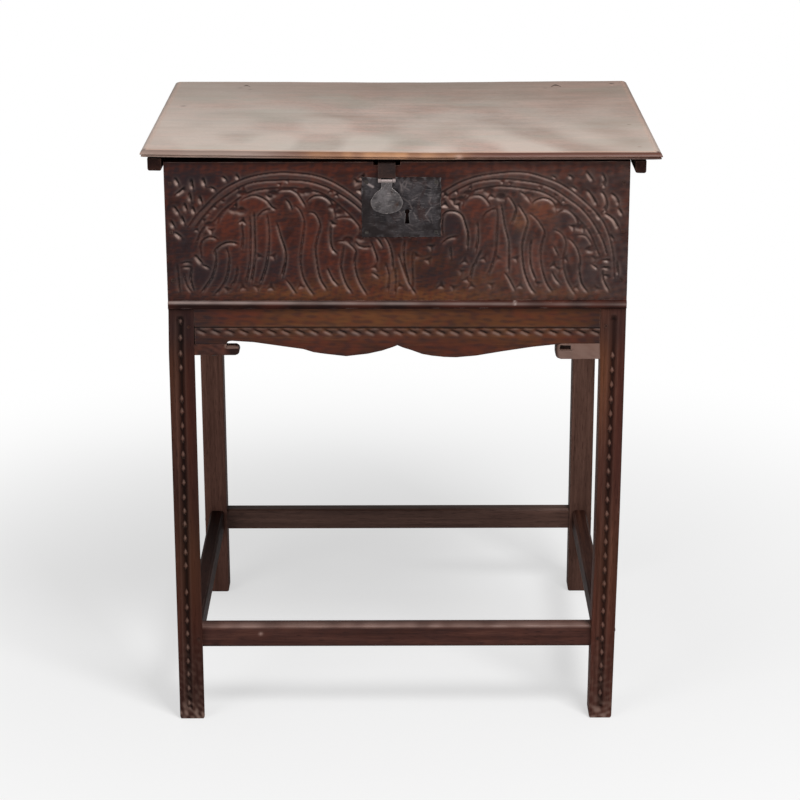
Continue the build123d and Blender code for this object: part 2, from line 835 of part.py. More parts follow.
# A bent leaf on the plate's back, whose tip bears on the top of the bolt.
spring_tip_x = left_guide_x + 2 * guide_width
spring_tip_z = bolt_z + bolt_height / 2 + bolt_clearance
spring_bend_x = right_guide_x + guide_width
spring_bend_z = spring_tip_z + spring_rise / 2
spring_foot_x = spring_bend_x + guide_width
spring_foot_z = spring_tip_z + spring_rise
with BuildPart() as bolt_spring:
    with BuildSketch(plate_back_plane):
        with BuildLine():
            Polyline(
                (spring_tip_x, spring_tip_z),
                (spring_bend_x, spring_bend_z),
                (spring_foot_x, spring_foot_z),
                (spring_foot_x + spring_foot_length, spring_foot_z),
                (spring_foot_x + spring_foot_length, spring_foot_z - spring_metal),
                (spring_foot_x + spring_metal, spring_foot_z - spring_metal),
                (spring_bend_x + spring_metal, spring_bend_z - spring_metal),
                (spring_tip_x + spring_metal, spring_tip_z),
                close=True,
            )
        make_face()
    extrude(amount=-spring_depth)
save(bolt_spring, "bolt_spring")

# ---------------------------------------------------------------- hasp
# The strap is nailed under the lid, comes out over the notch of the front board
# and turns down to two outer knuckles. The hasp hangs from the middle knuckle.
hasp_axis = (hasp_x, hasp_axis_y, hasp_axis_z)
across = Plane(origin=hasp_axis, x_dir=(0, 1, 0), z_dir=(1, 0, 0))
knuckle_space = hasp_knuckle_length + 2 * knuckle_gap

with BuildPart() as hasp_strap:
    with BuildSketch(across):
        with BuildLine():
            Polyline(
                (strap_back_y - hasp_axis_y, knuckle_drop),
                (-strap_metal / 2, knuckle_drop),
                (-strap_metal / 2, 0),
                (strap_metal / 2, 0),
                (strap_metal / 2, knuckle_drop - strap_metal),
                (strap_back_y - hasp_axis_y, knuckle_drop - strap_metal),
                close=True,
            )
        make_face()
        Circle(knuckle_radius)
    extrude(amount=strap_width / 2, both=True)
    outer_bend = hasp_strap.edges().filter_by(Axis.X).group_by(Axis.Z)[-1].sort_by(Axis.Y)[0]
    fillet(outer_bend, radius=strap_metal)
    with BuildSketch(across):
        with BuildLine():
            Polyline(
                (-2 * knuckle_radius, -2 * knuckle_radius),
                (-2 * knuckle_radius, strap_cutout_rise),
                (2 * knuckle_radius, strap_cutout_rise),
                (2 * knuckle_radius, -2 * knuckle_radius),
                close=True,
            )
        make_face()
    extrude(amount=knuckle_space / 2, both=True, mode=Mode.SUBTRACT)
    with BuildSketch(across):
        Circle(hasp_pin_radius + pin_clearance)
    extrude(amount=strap_width, both=True, mode=Mode.SUBTRACT)
    cut_nail_holes(strap_nail_places, short_nail_length)
save(hasp_strap, "hasp_strap")

with BuildPart() as hasp_pin:
    with BuildSketch(across):
        Circle(hasp_pin_radius)
    extrude(amount=strap_width / 2, both=True)
save(hasp_pin, "hasp_pin")

# The leaf's plane passes through the pin and leans out from the lock plate.
lean = math.radians(hasp_rest_angle)
leaf_plane = Plane(origin=hasp_axis, x_dir=(1, 0, 0), z_dir=(0, -math.cos(lean), math.sin(lean)))
leaf_section = Plane(origin=hasp_axis, x_dir=(0, math.cos(lean), -math.sin(lean)), z_dir=(1, 0, 0))

with BuildPart() as hasp:
    with BuildSketch(leaf_plane):
        with BuildLine():
            Line((0, 0), (hasp_neck, 0))
            Line((hasp_neck, 0), (hasp_neck, -hasp_neck_drop))
            Spline(
                (hasp_neck, -hasp_neck_drop),
                (hasp_bulb, -hasp_bulb_drop),
                (0, -hasp_length),
                tangents=((hasp_neck_flare, -1), (-1, 0)),
            )
            Line((0, -hasp_length), (0, 0))
        make_face()
        mirror(about=Plane.YZ)
    extrude(amount=hasp_metal / 2, both=True)
    with BuildSketch(across):
        Circle(knuckle_radius)
    extrude(amount=hasp_knuckle_length / 2, both=True)
    with BuildSketch(across):
        Circle(hasp_pin_radius + pin_clearance)
    extrude(amount=strap_width, both=True, mode=Mode.SUBTRACT)
save(hasp, "hasp")

with BuildPart() as hasp_staple:
    with BuildSketch(leaf_section):
        with Locations((hasp_metal / 2, -staple_top - staple_height / 2)):
            Rectangle(staple_reach, staple_height, align=(Align.MIN, Align.CENTER))
            Rectangle(
                staple_reach - staple_metal,
                staple_height - 2 * staple_metal,
                align=(Align.MIN, Align.CENTER),
                mode=Mode.SUBTRACT,
            )
    extrude(amount=staple_width / 2, both=True)
save(hasp_staple, "hasp_staple")
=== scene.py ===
# %% [markdown]
# # A carved oak bible box on its stand
#
# The imported model of the box is the frame of this scene: its nodes have the right
# size and place. Each step below dresses one piece.
# Lengths are written in millimetres, as a joiner would, and scaled to metres.

# %% Load the frame
import bmesh
import bpy
import math
import numpy as np
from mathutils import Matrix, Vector


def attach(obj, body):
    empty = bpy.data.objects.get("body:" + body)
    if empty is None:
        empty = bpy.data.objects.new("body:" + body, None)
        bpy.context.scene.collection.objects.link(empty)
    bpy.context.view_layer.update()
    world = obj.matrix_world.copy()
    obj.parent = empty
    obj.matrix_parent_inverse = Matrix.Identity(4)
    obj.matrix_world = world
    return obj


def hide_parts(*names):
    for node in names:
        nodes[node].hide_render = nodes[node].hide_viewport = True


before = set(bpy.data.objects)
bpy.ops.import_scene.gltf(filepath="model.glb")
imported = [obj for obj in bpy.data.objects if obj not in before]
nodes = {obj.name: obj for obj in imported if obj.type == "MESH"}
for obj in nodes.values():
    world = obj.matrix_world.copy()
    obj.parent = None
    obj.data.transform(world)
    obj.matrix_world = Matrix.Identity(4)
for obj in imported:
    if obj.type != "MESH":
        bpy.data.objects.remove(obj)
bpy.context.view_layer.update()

MM = 0.001
quarter = math.radians(90)
bpy.ops.object.select_all(action="DESELECT")

# %% [markdown]
# ## The camera
# A view from a little above the lid, a few metres away, with a long lens. The frame
# is shifted down a little, so that the feet and the lid both fit in the picture.

# %% Camera
look_down, lean_right, turn_right = (math.radians(angle) for angle in (17.5, 0.12, -0.03))
camera_data = bpy.data.cameras.new("camera")
camera_data.sensor_width = 36
camera_data.lens = 101.62
camera_data.shift_y = -0.0732
camera = bpy.data.objects.new("camera", camera_data)
camera.location = Vector((-1.92, -3267.44, 1537.85)) * MM
camera.rotation_euler = (quarter - look_down, lean_right, turn_right)
bpy.context.scene.collection.objects.link(camera)
bpy.context.scene.camera = camera
bpy.context.scene.view_settings.view_transform = "Standard"
print("camera height:", round(camera.location.z, 3))

# %% [markdown]
# ## Helpers for materials
# Every finish is a tree of shader nodes. These helpers make the nodes that come up
# again and again, and each of them returns the output that the next one needs.


# %% Node helpers
def new_finish(name):
    """A new material, with its tree, its shader and the coordinates of its piece."""
    finish = bpy.data.materials.new(name)
    finish.use_nodes = True
    tree = finish.node_tree
    place = tree.nodes.new("ShaderNodeTexCoord").outputs["Object"]
    return finish, tree, tree.nodes["Principled BSDF"], place


def start_group(name, outputs):
    """A new node group that takes coordinates, with its two end nodes."""
    group = bpy.data.node_groups.new(name, "ShaderNodeTree")
    group.interface.new_socket(name="Vector", in_out="INPUT", socket_type="NodeSocketVector")
    for label in outputs:
        group.interface.new_socket(name=label, in_out="OUTPUT", socket_type="NodeSocketFloat")
    start, end = group.nodes.new("NodeGroupInput"), group.nodes.new("NodeGroupOutput")
    return group, start.outputs["Vector"], end.inputs


def use_group(tree, group, vector):
    """The outputs of a group that reads these coordinates."""
    node = tree.nodes.new("ShaderNodeGroup")
    node.node_tree = group
    tree.links.new(vector, node.inputs["Vector"])
    return node.outputs


def calc(tree, operation, first, second):
    """A Math node. Each value is a number or another node's output."""
    node = tree.nodes.new("ShaderNodeMath")
    node.operation = operation
    for socket, value in zip(node.inputs, (first, second)):
        if isinstance(value, (int, float)):
            socket.default_value = value
        else:
            tree.links.new(value, socket)
    return node.outputs[0]


def weigh(tree, parts):
    """The sum of some outputs, each times its own weight."""
    total = None
    for value, weight in parts:
        part = calc(tree, "MULTIPLY", value, weight)
        total = part if total is None else calc(tree, "ADD", total, part)
    return total


def remap(tree, value, low, high, to_low=0.0, to_high=1.0):
    """A clamped Map Range node."""
    node = tree.nodes.new("ShaderNodeMapRange")
    tree.links.new(value, node.inputs["Value"])
    for label, number in (("From Min", low), ("From Max", high), ("To Min", to_low), ("To Max", to_high)):
        node.inputs[label].default_value = number
    return node.outputs[0]


def stretched_noise(tree, vector, stretch, detail, rough, distortion=0.0):
    """Noise on coordinates that are scaled by different amounts along each axis."""
    scale = tree.nodes.new("ShaderNodeMapping")
    scale.inputs["Scale"].default_value = stretch
    tree.links.new(vector, scale.inputs["Vector"])
    noise = tree.nodes.new("ShaderNodeTexNoise")
    noise.inputs["Scale"].default_value = 1.0
    noise.inputs["Detail"].default_value = detail
    noise.inputs["Roughness"].default_value = rough
    noise.inputs["Distortion"].default_value = distortion
    tree.links.new(scale.outputs[0], noise.inputs["Vector"])
    return noise.outputs["Fac"]


def mix_colour(tree, factor, first, second):
    """A colour between two others. A colour may be a tuple or a node's output."""
    node = tree.nodes.new("ShaderNodeMix")
    node.data_type = "RGBA"
    tree.links.new(factor, node.inputs["Factor"])
    for socket, value in ((node.inputs[6], first), (node.inputs[7], second)):
        if isinstance(value, tuple):
            socket.default_value = (*value, 1)
        else:
            tree.links.new(value, socket)
    return node.outputs[2]


def glaze(tree, colour, layers):
    """Lay tints over a colour. A layer is where it lies, how much it covers, and its tint."""
    for mask, much, tint in layers:
        factor = calc(tree, "MULTIPLY", mask, much) if much < 1 else mask
        colour = mix_colour(tree, factor, colour, tint)
    return colour


def read_mark(tree, label):
    """The number that a piece carries on its points under this name."""
    reader = tree.nodes.new("ShaderNodeAttribute")
    reader.attribute_name = label
    return reader.outputs["Fac"]


def emboss(tree, shader, height, strength, distance):
    """Let a height bend the shader's normal."""
    relief = tree.nodes.new("ShaderNodeBump")
    relief.inputs["Strength"].default_value = strength
    relief.inputs["Distance"].default_value = distance * MM
    tree.links.new(height, relief.inputs["Height"])
    tree.links.new(relief.outputs[0], shader.inputs["Normal"])


print("node helpers ready")

# %% [markdown]
# ## The studio
# A pale floor takes the soft shadow under the stand. Further out the camera sees it
# turn into a plain white, so the floor's horizon never shows. The world is white to
# the camera, and dimmer as a light, so that dark wax keeps its depth.

# %% Floor
bpy.ops.mesh.primitive_grid_add(x_subdivisions=2, y_subdivisions=2, size=30)
floor = bpy.context.object
floor.name = "studio_floor"
floor_paint, tree, shader, place = new_finish("floor_paint")
shader.inputs["Base Color"].default_value = (0.84, 0.84, 0.84, 1)
shader.inputs["Roughness"].default_value = 0.9
shader.inputs["Specular IOR Level"].default_value = 0.0
away = tree.nodes.new("ShaderNodeVectorMath")
away.operation = "LENGTH"
tree.links.new(place, away.inputs[0])
far_off = remap(tree, away.outputs["Value"], 0.45, 1.5, 0.55, 1.0)
far_off.node.interpolation_type = "SMOOTHSTEP"
seen = tree.nodes.new("ShaderNodeLightPath").outputs["Is Camera Ray"]
white_glow = tree.nodes.new("ShaderNodeEmission")
blend = tree.nodes.new("ShaderNodeMixShader")
tree.links.new(calc(tree, "MULTIPLY", far_off, seen), blend.inputs[0])
tree.links.new(shader.outputs[0], blend.inputs[1])
tree.links.new(white_glow.outputs[0], blend.inputs[2])
tree.links.new(blend.outputs[0], tree.nodes["Material Output"].inputs["Surface"])
floor.data.materials.append(floor_paint)
print("floor:", tuple(round(side, 1) for side in floor.dimensions))

# %% World and lamps
world = bpy.data.worlds.new("studio")
bpy.context.scene.world = world
world.use_nodes = True
tree = world.node_tree
background = tree.nodes["Background"]
background.inputs["Color"].default_value = (1, 1, 1, 1)
seen = tree.nodes.new("ShaderNodeLightPath").outputs["Is Camera Ray"]
tree.links.new(remap(tree, seen, 0.0, 1.0, 0.32, 1.0), background.inputs["Strength"])


def soft_lamp(name, place, size, power):
    """A square area lamp at a place, turned towards the middle of the box and stand."""
    lamp = bpy.data.lights.new(name, "AREA")
    lamp.shape = "RECTANGLE"
    lamp.size = lamp.size_y = size
    lamp.energy = power
    holder = bpy.data.objects.new(name, lamp)
    holder.location = place
    holder.rotation_euler = (Vector((0, 0, 0.6)) - Vector(place)).to_track_quat("-Z", "Y").to_euler()
    bpy.context.scene.collection.objects.link(holder)


soft_lamp("lamp_key", (1.1, -1.9, 3.1), 1.1, 88)
soft_lamp("lamp_fill", (-2.4, -2.6, 1.5), 1.8, 38)
print("lamps:", 2)

# %% [markdown]
# ## Node groups for the finishes
# Oak of this age shows long streaks along the grain, short dark pores, and patches
# where wax and dust have darkened it. All of that comes from noise that is stretched
# along the grain. It is kept in one group, so that each board only chooses its
# colours and the way its grain runs.

# %% Oak grain group
oak_grain, along, grain_out = start_group("oak_grain", ("Tone", "Stain", "Height"))
bands = stretched_noise(oak_grain, along, (2.2, 38, 38), 3, 0.5, 0.6)
streaks = stretched_noise(oak_grain, along, (6, 210, 210), 6, 0.65)
fibres = stretched_noise(oak_grain, along, (45, 1500, 1500), 2, 0.5)
pores = remap(oak_grain, stretched_noise(oak_grain, along, (60, 1300, 1300), 1, 0.4), 0.60, 0.72)
pores = calc(oak_grain, "MULTIPLY", pores, 0.5)
clouds = stretched_noise(oak_grain, along, (4, 11, 11), 4, 0.6)
tone = remap(oak_grain, weigh(oak_grain, ((bands, 0.45), (streaks, 0.40), (fibres, 0.15))), 0.34, 0.66)
height = weigh(oak_grain, ((streaks, 0.6), (fibres, 0.25)))
oak_grain.links.new(calc(oak_grain, "SUBTRACT", tone, pores), grain_out["Tone"])
oak_grain.links.new(remap(oak_grain, clouds, 0.35, 0.68), grain_out["Stain"])
oak_grain.links.new(calc(oak_grain, "SUBTRACT", height, pores), grain_out["Height"])
print("group:", oak_grain.name, len(oak_grain.nodes), "nodes")

# %% [markdown]
# An arris that hands and brooms have rubbed for centuries is rounded and paler. The
# Bevel node gives the normal of a rounded copy of the surface: where it differs from
# the true normal, an edge is near. Noise breaks the line up, as real wear does.

# %% Worn edge group
worn_edge, along, worn_out = start_group("worn_edge", ("Mask",))
rounded = worn_edge.nodes.new("ShaderNodeBevel")
rounded.samples = 4
rounded.inputs["Radius"].default_value = 2.2 * MM
true_normal = worn_edge.nodes.new("ShaderNodeNewGeometry").outputs["Normal"]
compare = worn_edge.nodes.new("ShaderNodeVectorMath")
compare.operation = "DOT_PRODUCT"
worn_edge.links.new(rounded.outputs[0], compare.inputs[0])
worn_edge.links.new(true_normal, compare.inputs[1])
near_edge = remap(worn_edge, compare.outputs["Value"], 0.99, 0.80)
broken = remap(worn_edge, stretched_noise(worn_edge, along, (35, 90, 90), 5, 0.6), 0.38, 0.62)
worn_edge.links.new(calc(worn_edge, "MULTIPLY", near_edge, broken), worn_out["Mask"])
print("group:", worn_edge.name, len(worn_edge.nodes), "nodes")

# %% [markdown]
# ## The oak finishes
# The wood is fumed and waxed to a dark reddish brown, warmer where it is rubbed and where a highlight is
# painted. Each finish has a dark, a middle, a light and a stain colour. Worked pieces also carry
# marks on their points: hollow and rim for the relief, which also hold painted shade and painted highlight,
# and three tints of the patina.

# %% Oak material
amber = (0.150, 0.054, 0.017)
lobe_red = (0.085, 0.019, 0.010)
soot_purple = (0.016, 0.010, 0.012)
grain_turns = {"X": (0, 0, 0), "Y": (0, 0, quarter), "Z": (0, quarter, 0)}


def oak_finish(name, grain, colours, worn, roughness, marked=False, gloss=0.18):
    """Waxed oak whose grain runs along an axis, rubbed to a paler worn colour at its edges. On marked
    pieces that colour also lays a painted highlight, and a dark tint lays painted shade.
    """
    finish, tree, shader, place = new_finish(name)
    dark, middle, light, stain = colours
    turn = tree.nodes.new("ShaderNodeMapping")
    turn.inputs["Rotation"].default_value = grain_turns[grain]
    turn.inputs["Location"].default_value = (0.37 * len(name), 0.21 * len(name), 0.13)
    tree.links.new(place, turn.inputs["Vector"])
    wood = use_group(tree, oak_grain, turn.outputs[0])
    ramp = tree.nodes.new("ShaderNodeValToRGB")
    ramp.color_ramp.elements[0].color = (*dark, 1)
    ramp.color_ramp.elements[1].color = (*light, 1)
    ramp.color_ramp.elements.new(0.5).color = (*middle, 1)
    tree.links.new(wood["Tone"], ramp.inputs[0])
    colour = glaze(tree, ramp.outputs[0], [(wood["Stain"], 0.6, stain)])
    rub = calc(tree, "MULTIPLY", use_group(tree, worn_edge, turn.outputs[0])["Mask"], 0.6)
    if marked:
        rim = read_mark(tree, "rim")
        patina = [("warm", 0.75, amber), ("red", 0.8, lobe_red), ("soot", 0.82, soot_purple)]
        patina.append(("hollow", 0.85, tuple(0.3 * part for part in dark)))
        colour = glaze(tree, colour, [(read_mark(tree, label), much, tint) for label, much, tint in patina])
        # On marked pieces the rim mark lays a painted highlight into the rubbed colour, and the hollow mark
        # above lays painted shade.
        rub = calc(tree, "MAXIMUM", rub, rim)
        tree.links.new(remap(tree, rim, 0.3, 1.0, 0.0, 0.5), shader.inputs["Coat Weight"])
        shader.inputs["Coat Roughness"].default_value = 0.35
    tree.links.new(glaze(tree, colour, [(rub, 0.75, worn)]), shader.inputs["Base Color"])
    dull = remap(tree, wood["Height"], 0.2, 0.8, roughness + 0.1, roughness - 0.08)
    tree.links.new(dull, shader.inputs["Roughness"])
    shader.inputs["Specular IOR Level"].default_value = gloss
    emboss(tree, shader, wood["Height"], 0.35, 0.6)
    return finish


dark_oak = ((0.007, 0.002, 0.0015), (0.026, 0.009, 0.006), (0.070, 0.029, 0.019), (0.014, 0.005, 0.004))
front_oak = ((0.007, 0.002, 0.0015), (0.028, 0.0085, 0.006), (0.070, 0.025, 0.016), (0.013, 0.005, 0.005))
warm_oak = ((0.009, 0.003, 0.002), (0.042, 0.014, 0.008), (0.125, 0.048, 0.024), (0.020, 0.007, 0.005))
brown_oak = ((0.022, 0.009, 0.006), (0.070, 0.034, 0.025), (0.125, 0.064, 0.048), (0.045, 0.021, 0.016))
back_oak = ((0.034, 0.014, 0.009), (0.105, 0.049, 0.036), (0.190, 0.094, 0.070), (0.068, 0.030, 0.023))
red_oak = ((0.016, 0.005, 0.003), (0.068, 0.024, 0.017), (0.155, 0.066, 0.045), (0.034, 0.012, 0.009))
deep_oak = ((0.009, 0.003, 0.002), (0.034, 0.0125, 0.009), (0.085, 0.034, 0.023), (0.017, 0.006, 0.005))
# These colours of rubbed wood also serve as the painted highlight of the rim mark on marked finishes.
worn_brown = (0.185, 0.112, 0.088)
cut_pink = (0.330, 0.220, 0.185)
rubbed_pale = (0.44, 0.34, 0.31)
rubbed_pink = (0.30, 0.19, 0.16)
oak = {
    "carved": oak_finish("carved_oak", "X", front_oak, cut_pink, 0.38, True, 0.12),
    # The left front leg takes a darker oak and the right front leg a lighter red one: painted shade on the
    # left, painted light on the right.
    "left_leg": oak_finish("left_leg_oak", "Z", deep_oak, worn_brown, 0.5, True, 0.06),
    "right_leg": oak_finish("right_leg_oak", "Z", red_oak, worn_brown, 0.5, True, 0.06),
    "nosing": oak_finish("nosing_oak", "X", front_oak, rubbed_pale, 0.45, True, 0.06),
    "stretcher": oak_finish("stretcher_oak", "X", red_oak, rubbed_pink, 0.42, True, 0.1),
    "low": oak_finish("back_stretcher_oak", "X", brown_oak, worn_brown, 0.45),
    "apron": oak_finish("apron_oak", "X", warm_oak, worn_brown, 0.40, True, 0.12),
    "along_x": oak_finish("oak_along_x", "X", dark_oak, worn_brown, 0.42),
    "along_y": oak_finish("oak_along_y", "Y", dark_oak, worn_brown, 0.5, gloss=0.08),
    # The back left leg takes a paler oak than the back right one: painted light.
    "back": oak_finish("back_leg_oak", "Z", back_oak, worn_brown, 0.5, gloss=0.06),
    "along_z": oak_finish("oak_along_z", "Z", brown_oak, worn_brown, 0.5, gloss=0.06),
}
print("oak finishes:", sorted(oak))

# %% [markdown]
# The lid's field has lost much of its dark wax, and its pale colour also carries a painted sheen. It is a
# mottled grey brown: pinkish in some places, greenish grey in others, paler towards the front where the
# painted sheen is strongest, browner at the back, and only its moulding is still red brown. Soft clouds of
# different sizes mix these colours, and the grain shows through them faintly. Underneath, the board is
# still dark and rough sawn.

# %% Lid finish
oak["lid"], tree, shader, place = new_finish("lid_oak")
wood = use_group(tree, oak_grain, place)


def lid_clouds(low, high, stretch, detail, rough, distortion=0.0):
    """Soft patches on the lid's field."""
    return remap(tree, stretched_noise(tree, place, stretch, detail, rough, distortion), low, high)


pinkish = lid_clouds(0.40, 0.60, (4.5, 8, 8), 3, 0.55)
field = mix_colour(tree, pinkish, (0.461, 0.37, 0.319), (0.546, 0.358, 0.299))
sawn_oak = mix_colour(tree, wood["Tone"], (0.014, 0.006, 0.004), (0.085, 0.042, 0.029))
sawn_mark = read_mark(tree, "sawn")
lid_colour = glaze(tree, field, [
    (lid_clouds(0.48, 0.66, (7, 13, 5), 4, 0.6, 0.3), 0.85, (0.351, 0.325, 0.267)),
    (lid_clouds(0.52, 0.70, (9, 24, 9), 5, 0.65), 0.7, (0.293, 0.182, 0.13)),
    (lid_clouds(0.46, 0.60, (26, 62, 26), 5, 0.75, 0.4), 0.45, (0.335, 0.300, 0.270)),
    # Browner towards the back and the right. At the back this is where the painted sheen is weakest.
    (read_mark(tree, "brown"), 0.5, (0.26, 0.176, 0.13)),
    (remap(tree, wood["Tone"], 0.75, 0.15), 0.38, (0.221, 0.137, 0.104)),
    (lid_clouds(0.50, 0.34, (170, 300, 170), 5, 0.8), 0.6, (0.247, 0.169, 0.13)),
    # The field pales towards the front: partly fading, partly a painted sheen.
    (read_mark(tree, "field_fade"), 0.55, (0.728, 0.637, 0.559)),
    # A painted highlight along the top arris of the moulding, and the bare wood of the chip.
    (read_mark(tree, "arris"), 0.8, (0.65, 0.351, 0.234)),
    (read_mark(tree, "moulding"), 1, (0.105, 0.038, 0.024)),
    (read_mark(tree, "gold"), 0.85, (0.430, 0.215, 0.105)),
    (use_group(tree, worn_edge, place)["Mask"], 0.45, (0.546, 0.338, 0.247)),
    # Painted shade under the moulding's lower roll, and dark spots in the dents.
    (read_mark(tree, "hollow"), 1, (0.016, 0.008, 0.007)),
    (sawn_mark, 1, sawn_oak),
])
tree.links.new(lid_colour, shader.inputs["Base Color"])
dull = remap(tree, wood["Height"], 0.2, 0.8, 0.52, 0.36)
dull = calc(tree, "ADD", dull, calc(tree, "MULTIPLY", sawn_mark, 0.45))
tree.links.new(dull, shader.inputs["Roughness"])
shader.inputs["Specular IOR Level"].default_value = 0.4
emboss(tree, shader, wood["Height"], 0.3, 0.6)
print("lid finish:", len(tree.nodes), "nodes")

# %% [markdown]
# ## The iron finish
# The iron was forged, and it has a thin dark scale with duller patches where it once
# rusted. Hammering left shallow facets, which the bump shows. Some pieces carry marks for bright scratches
# together with a painted highlight on the hasp's knuckle, and for grime together with a painted shadow
# beside the hasp.

# %% Iron scale group and material
iron_scale, place, scale_out = start_group("iron_scale", ("Patch", "Rust", "Scratch", "Height"))
rusty = stretched_noise(iron_scale, place, (38, 38, 30), 5, 0.7, 0.6)
scratches = stretched_noise(iron_scale, place, (90, 90, 900), 2, 0.6, 1.2)
patches = stretched_noise(iron_scale, place, (70, 70, 70), 6, 0.65, 0.4)
pits = stretched_noise(iron_scale, place, (420, 420, 420), 3, 0.6)
facets = stretched_noise(iron_scale, place, (55, 55, 55), 1, 0.3)
iron_height = calc(iron_scale, "ADD", facets, calc(iron_scale, "MULTIPLY", pits, 0.25))
iron_scale.links.new(remap(iron_scale, rusty, 0.54, 0.66), scale_out["Rust"])
iron_scale.links.new(remap(iron_scale, scratches, 0.60, 0.68), scale_out["Scratch"])
iron_scale.links.new(remap(iron_scale, patches, 0.36, 0.66), scale_out["Patch"])
iron_scale.links.new(iron_height, scale_out["Height"])
# The bright mark also paints a highlight on the hasp's knuckle, and the grime mark also paints the shadow
# beside the hasp.
iron_marks = {"polish": (0.300, 0.245, 0.235), "grime": (0.010, 0.005, 0.005)}


def iron_finish(name, dark, light, worn, roughness, rust=(0.06, 0.03, 0.02), marks=(), knuckle=False):
    """Forged iron between a dark scale and a duller patch colour, with brown rust in places."""
    finish, tree, shader, place = new_finish(name)
    scale = use_group(tree, iron_scale, place)
    edge = use_group(tree, worn_edge, place)["Mask"]
    colour = mix_colour(tree, scale["Patch"], dark, light)
    layers = [(scale["Rust"], 0.75, rust), (scale["Scratch"], 0.5, worn), (edge, 0.8, worn)]
    layers += [(read_mark(tree, label), 1, iron_marks[label]) for label in marks]
    # A painted highlight: a bright band on the strap at its knuckle.
    if knuckle:
        split = tree.nodes.new("ShaderNodeSeparateXYZ")
        tree.links.new(place, split.inputs[0])
        layers.append((remap(tree, split.outputs["Z"], 0.8206, 0.8196), 1, iron_marks["polish"]))
    tree.links.new(glaze(tree, colour, layers), shader.inputs["Base Color"])
    shader.inputs["Metallic"].default_value = 0.55
    dull = remap(tree, scale["Patch"], 0, 1, roughness - 0.06, roughness + 0.12)
    tree.links.new(dull, shader.inputs["Roughness"])
    emboss(tree, shader, scale["Height"], 0.5, 0.8)
    return finish


iron = {
    "plate": iron_finish(
        "wrought_iron", (0.012, 0.009, 0.011), (0.058, 0.049, 0.052), (0.20, 0.185, 0.18), 0.48,
        rust=(0.034, 0.015, 0.013), marks=("polish", "grime"),
    ),
    "hasp": iron_finish(
        "hasp_iron", (0.045, 0.039, 0.040), (0.125, 0.112, 0.114), (0.34, 0.30, 0.28), 0.38,
        marks=("polish",),
    ),
    "strap": iron_finish(
        "rusted_strap_iron", (0.016, 0.007, 0.006), (0.036, 0.016, 0.012), (0.09, 0.05, 0.04), 0.7,
        knuckle=True,
    ),
    "clench": iron_finish("clenched_wire", (0.1, 0.07, 0.055), (0.2, 0.15, 0.125), (0.26, 0.21, 0.18), 0.7),
    "nail": iron_finish("nail_iron", (0.016, 0.013, 0.012), (0.04, 0.032, 0.028), (0.11, 0.10, 0.09), 0.5),
}
print("iron finishes:", sorted(iron))

# %% [markdown]
# ## Finishes for the carried nodes
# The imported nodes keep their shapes. Each only gets the finish that suits it, with
# the grain running along the board or leg.

# %% Dress the nodes
node_finish = {
    oak["back"]: ["back_left_leg"],
    oak["along_z"]: ["back_right_leg"],
    oak["stretcher"]: ["front_stretcher"],
    oak["low"]: ["back_stretcher"],
    oak["lid"]: ["cleat_nails"],
    oak["along_y"]: [
        "left_rail", "right_rail", "left_stretcher", "right_stretcher", "left_side_board",
        "right_side_board", "left_cleat", "right_cleat", "top_joint_pegs", "stretcher_joint_pegs",
    ],
    iron["plate"]: ["bolt_guides", "bolt_spring", "lock_bolt", "guide_rivets"],
    iron["hasp"]: ["hasp", "hasp_staple", "hasp_pin"],
    iron["strap"]: ["hasp_strap"],
    iron["clench"]: ["left_lid_loop", "right_lid_loop"],
    iron["nail"]: [
        "spur_nails", "bottom_nails", "lock_plate_nails", "hasp_strap_nails", "left_box_loop",
        "right_box_loop", "lock_plate",
    ],
}
finish_of = {name: finish for finish, names in node_finish.items() for name in names}
for name, node in nodes.items():
    node.data.materials.clear()
    node.data.materials.append(finish_of.get(name, oak["along_x"]))
print("nodes dressed:", len(nodes))

# %% [markdown]
# ## A board with a worked face
# The carved front, the lid, the front legs and the apron are all boards whose face
# is worked. Each starts as a fine grid, like a board squared out for carving. The
# carver's cuts move its points inward, and the rim is extruded back to give the
# board its thickness.


# %% Helpers for boards
def edit(piece, mode="VERT"):
    """Select one piece alone and edit its mesh, with nothing in it selected."""
    bpy.ops.object.select_all(action="DESELECT")
    piece.select_set(True)
    bpy.context.view_layer.objects.active = piece
    bpy.ops.object.mode_set(mode="EDIT")
    bpy.ops.mesh.select_mode(type=mode)
    bpy.ops.mesh.select_all(action="DESELECT")


def done_editing():
    bpy.ops.object.mode_set(mode="OBJECT")


def apply_place():
    """Bring the active object's place, turn and size into its mesh."""
    bpy.ops.object.transform_apply(location=True, rotation=True, scale=True)


def face_grid(name, low, high, cells, upright=True):
    """A grid over a face: upright faces look to the front, others look up."""
    size = Vector(high) - Vector(low)
    centre = (Vector(high) + Vector(low)) / 2 * MM
    turn = (quarter, 0, 0) if upright else (0, 0, 0)
    bpy.ops.mesh.primitive_grid_add(
        x_subdivisions=cells[0], y_subdivisions=cells[1], size=1, location=centre, rotation=turn
    )
    piece = bpy.context.object
    piece.name = name
    piece.scale = (size.x * MM, (size.z if upright else size.y) * MM, 1)
    apply_place()
    return piece


def block(name, low, high):
    """A box between two corners."""
    bpy.ops.mesh.primitive_cube_add(size=1, location=(Vector(low) + Vector(high)) / 2 * MM)
    piece = bpy.context.object
    piece.name = name
    piece.scale = (Vector(high) - Vector(low)) * MM
    apply_place()
    return piece


def extent(name):
    """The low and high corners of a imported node, in millimetres."""
    corners = [nodes[name].matrix_world @ Vector(corner) / MM for corner in nodes[name].bound_box]
    return [tuple(pick(corner[axis] for corner in corners) for axis in range(3)) for pick in (min, max)]


def points_of(piece):
    """The piece's points in millimetres, as an array with three columns."""
    flat = np.empty(len(piece.data.vertices) * 3)
    piece.data.vertices.foreach_get("co", flat)
    return flat.reshape(-1, 3) / MM


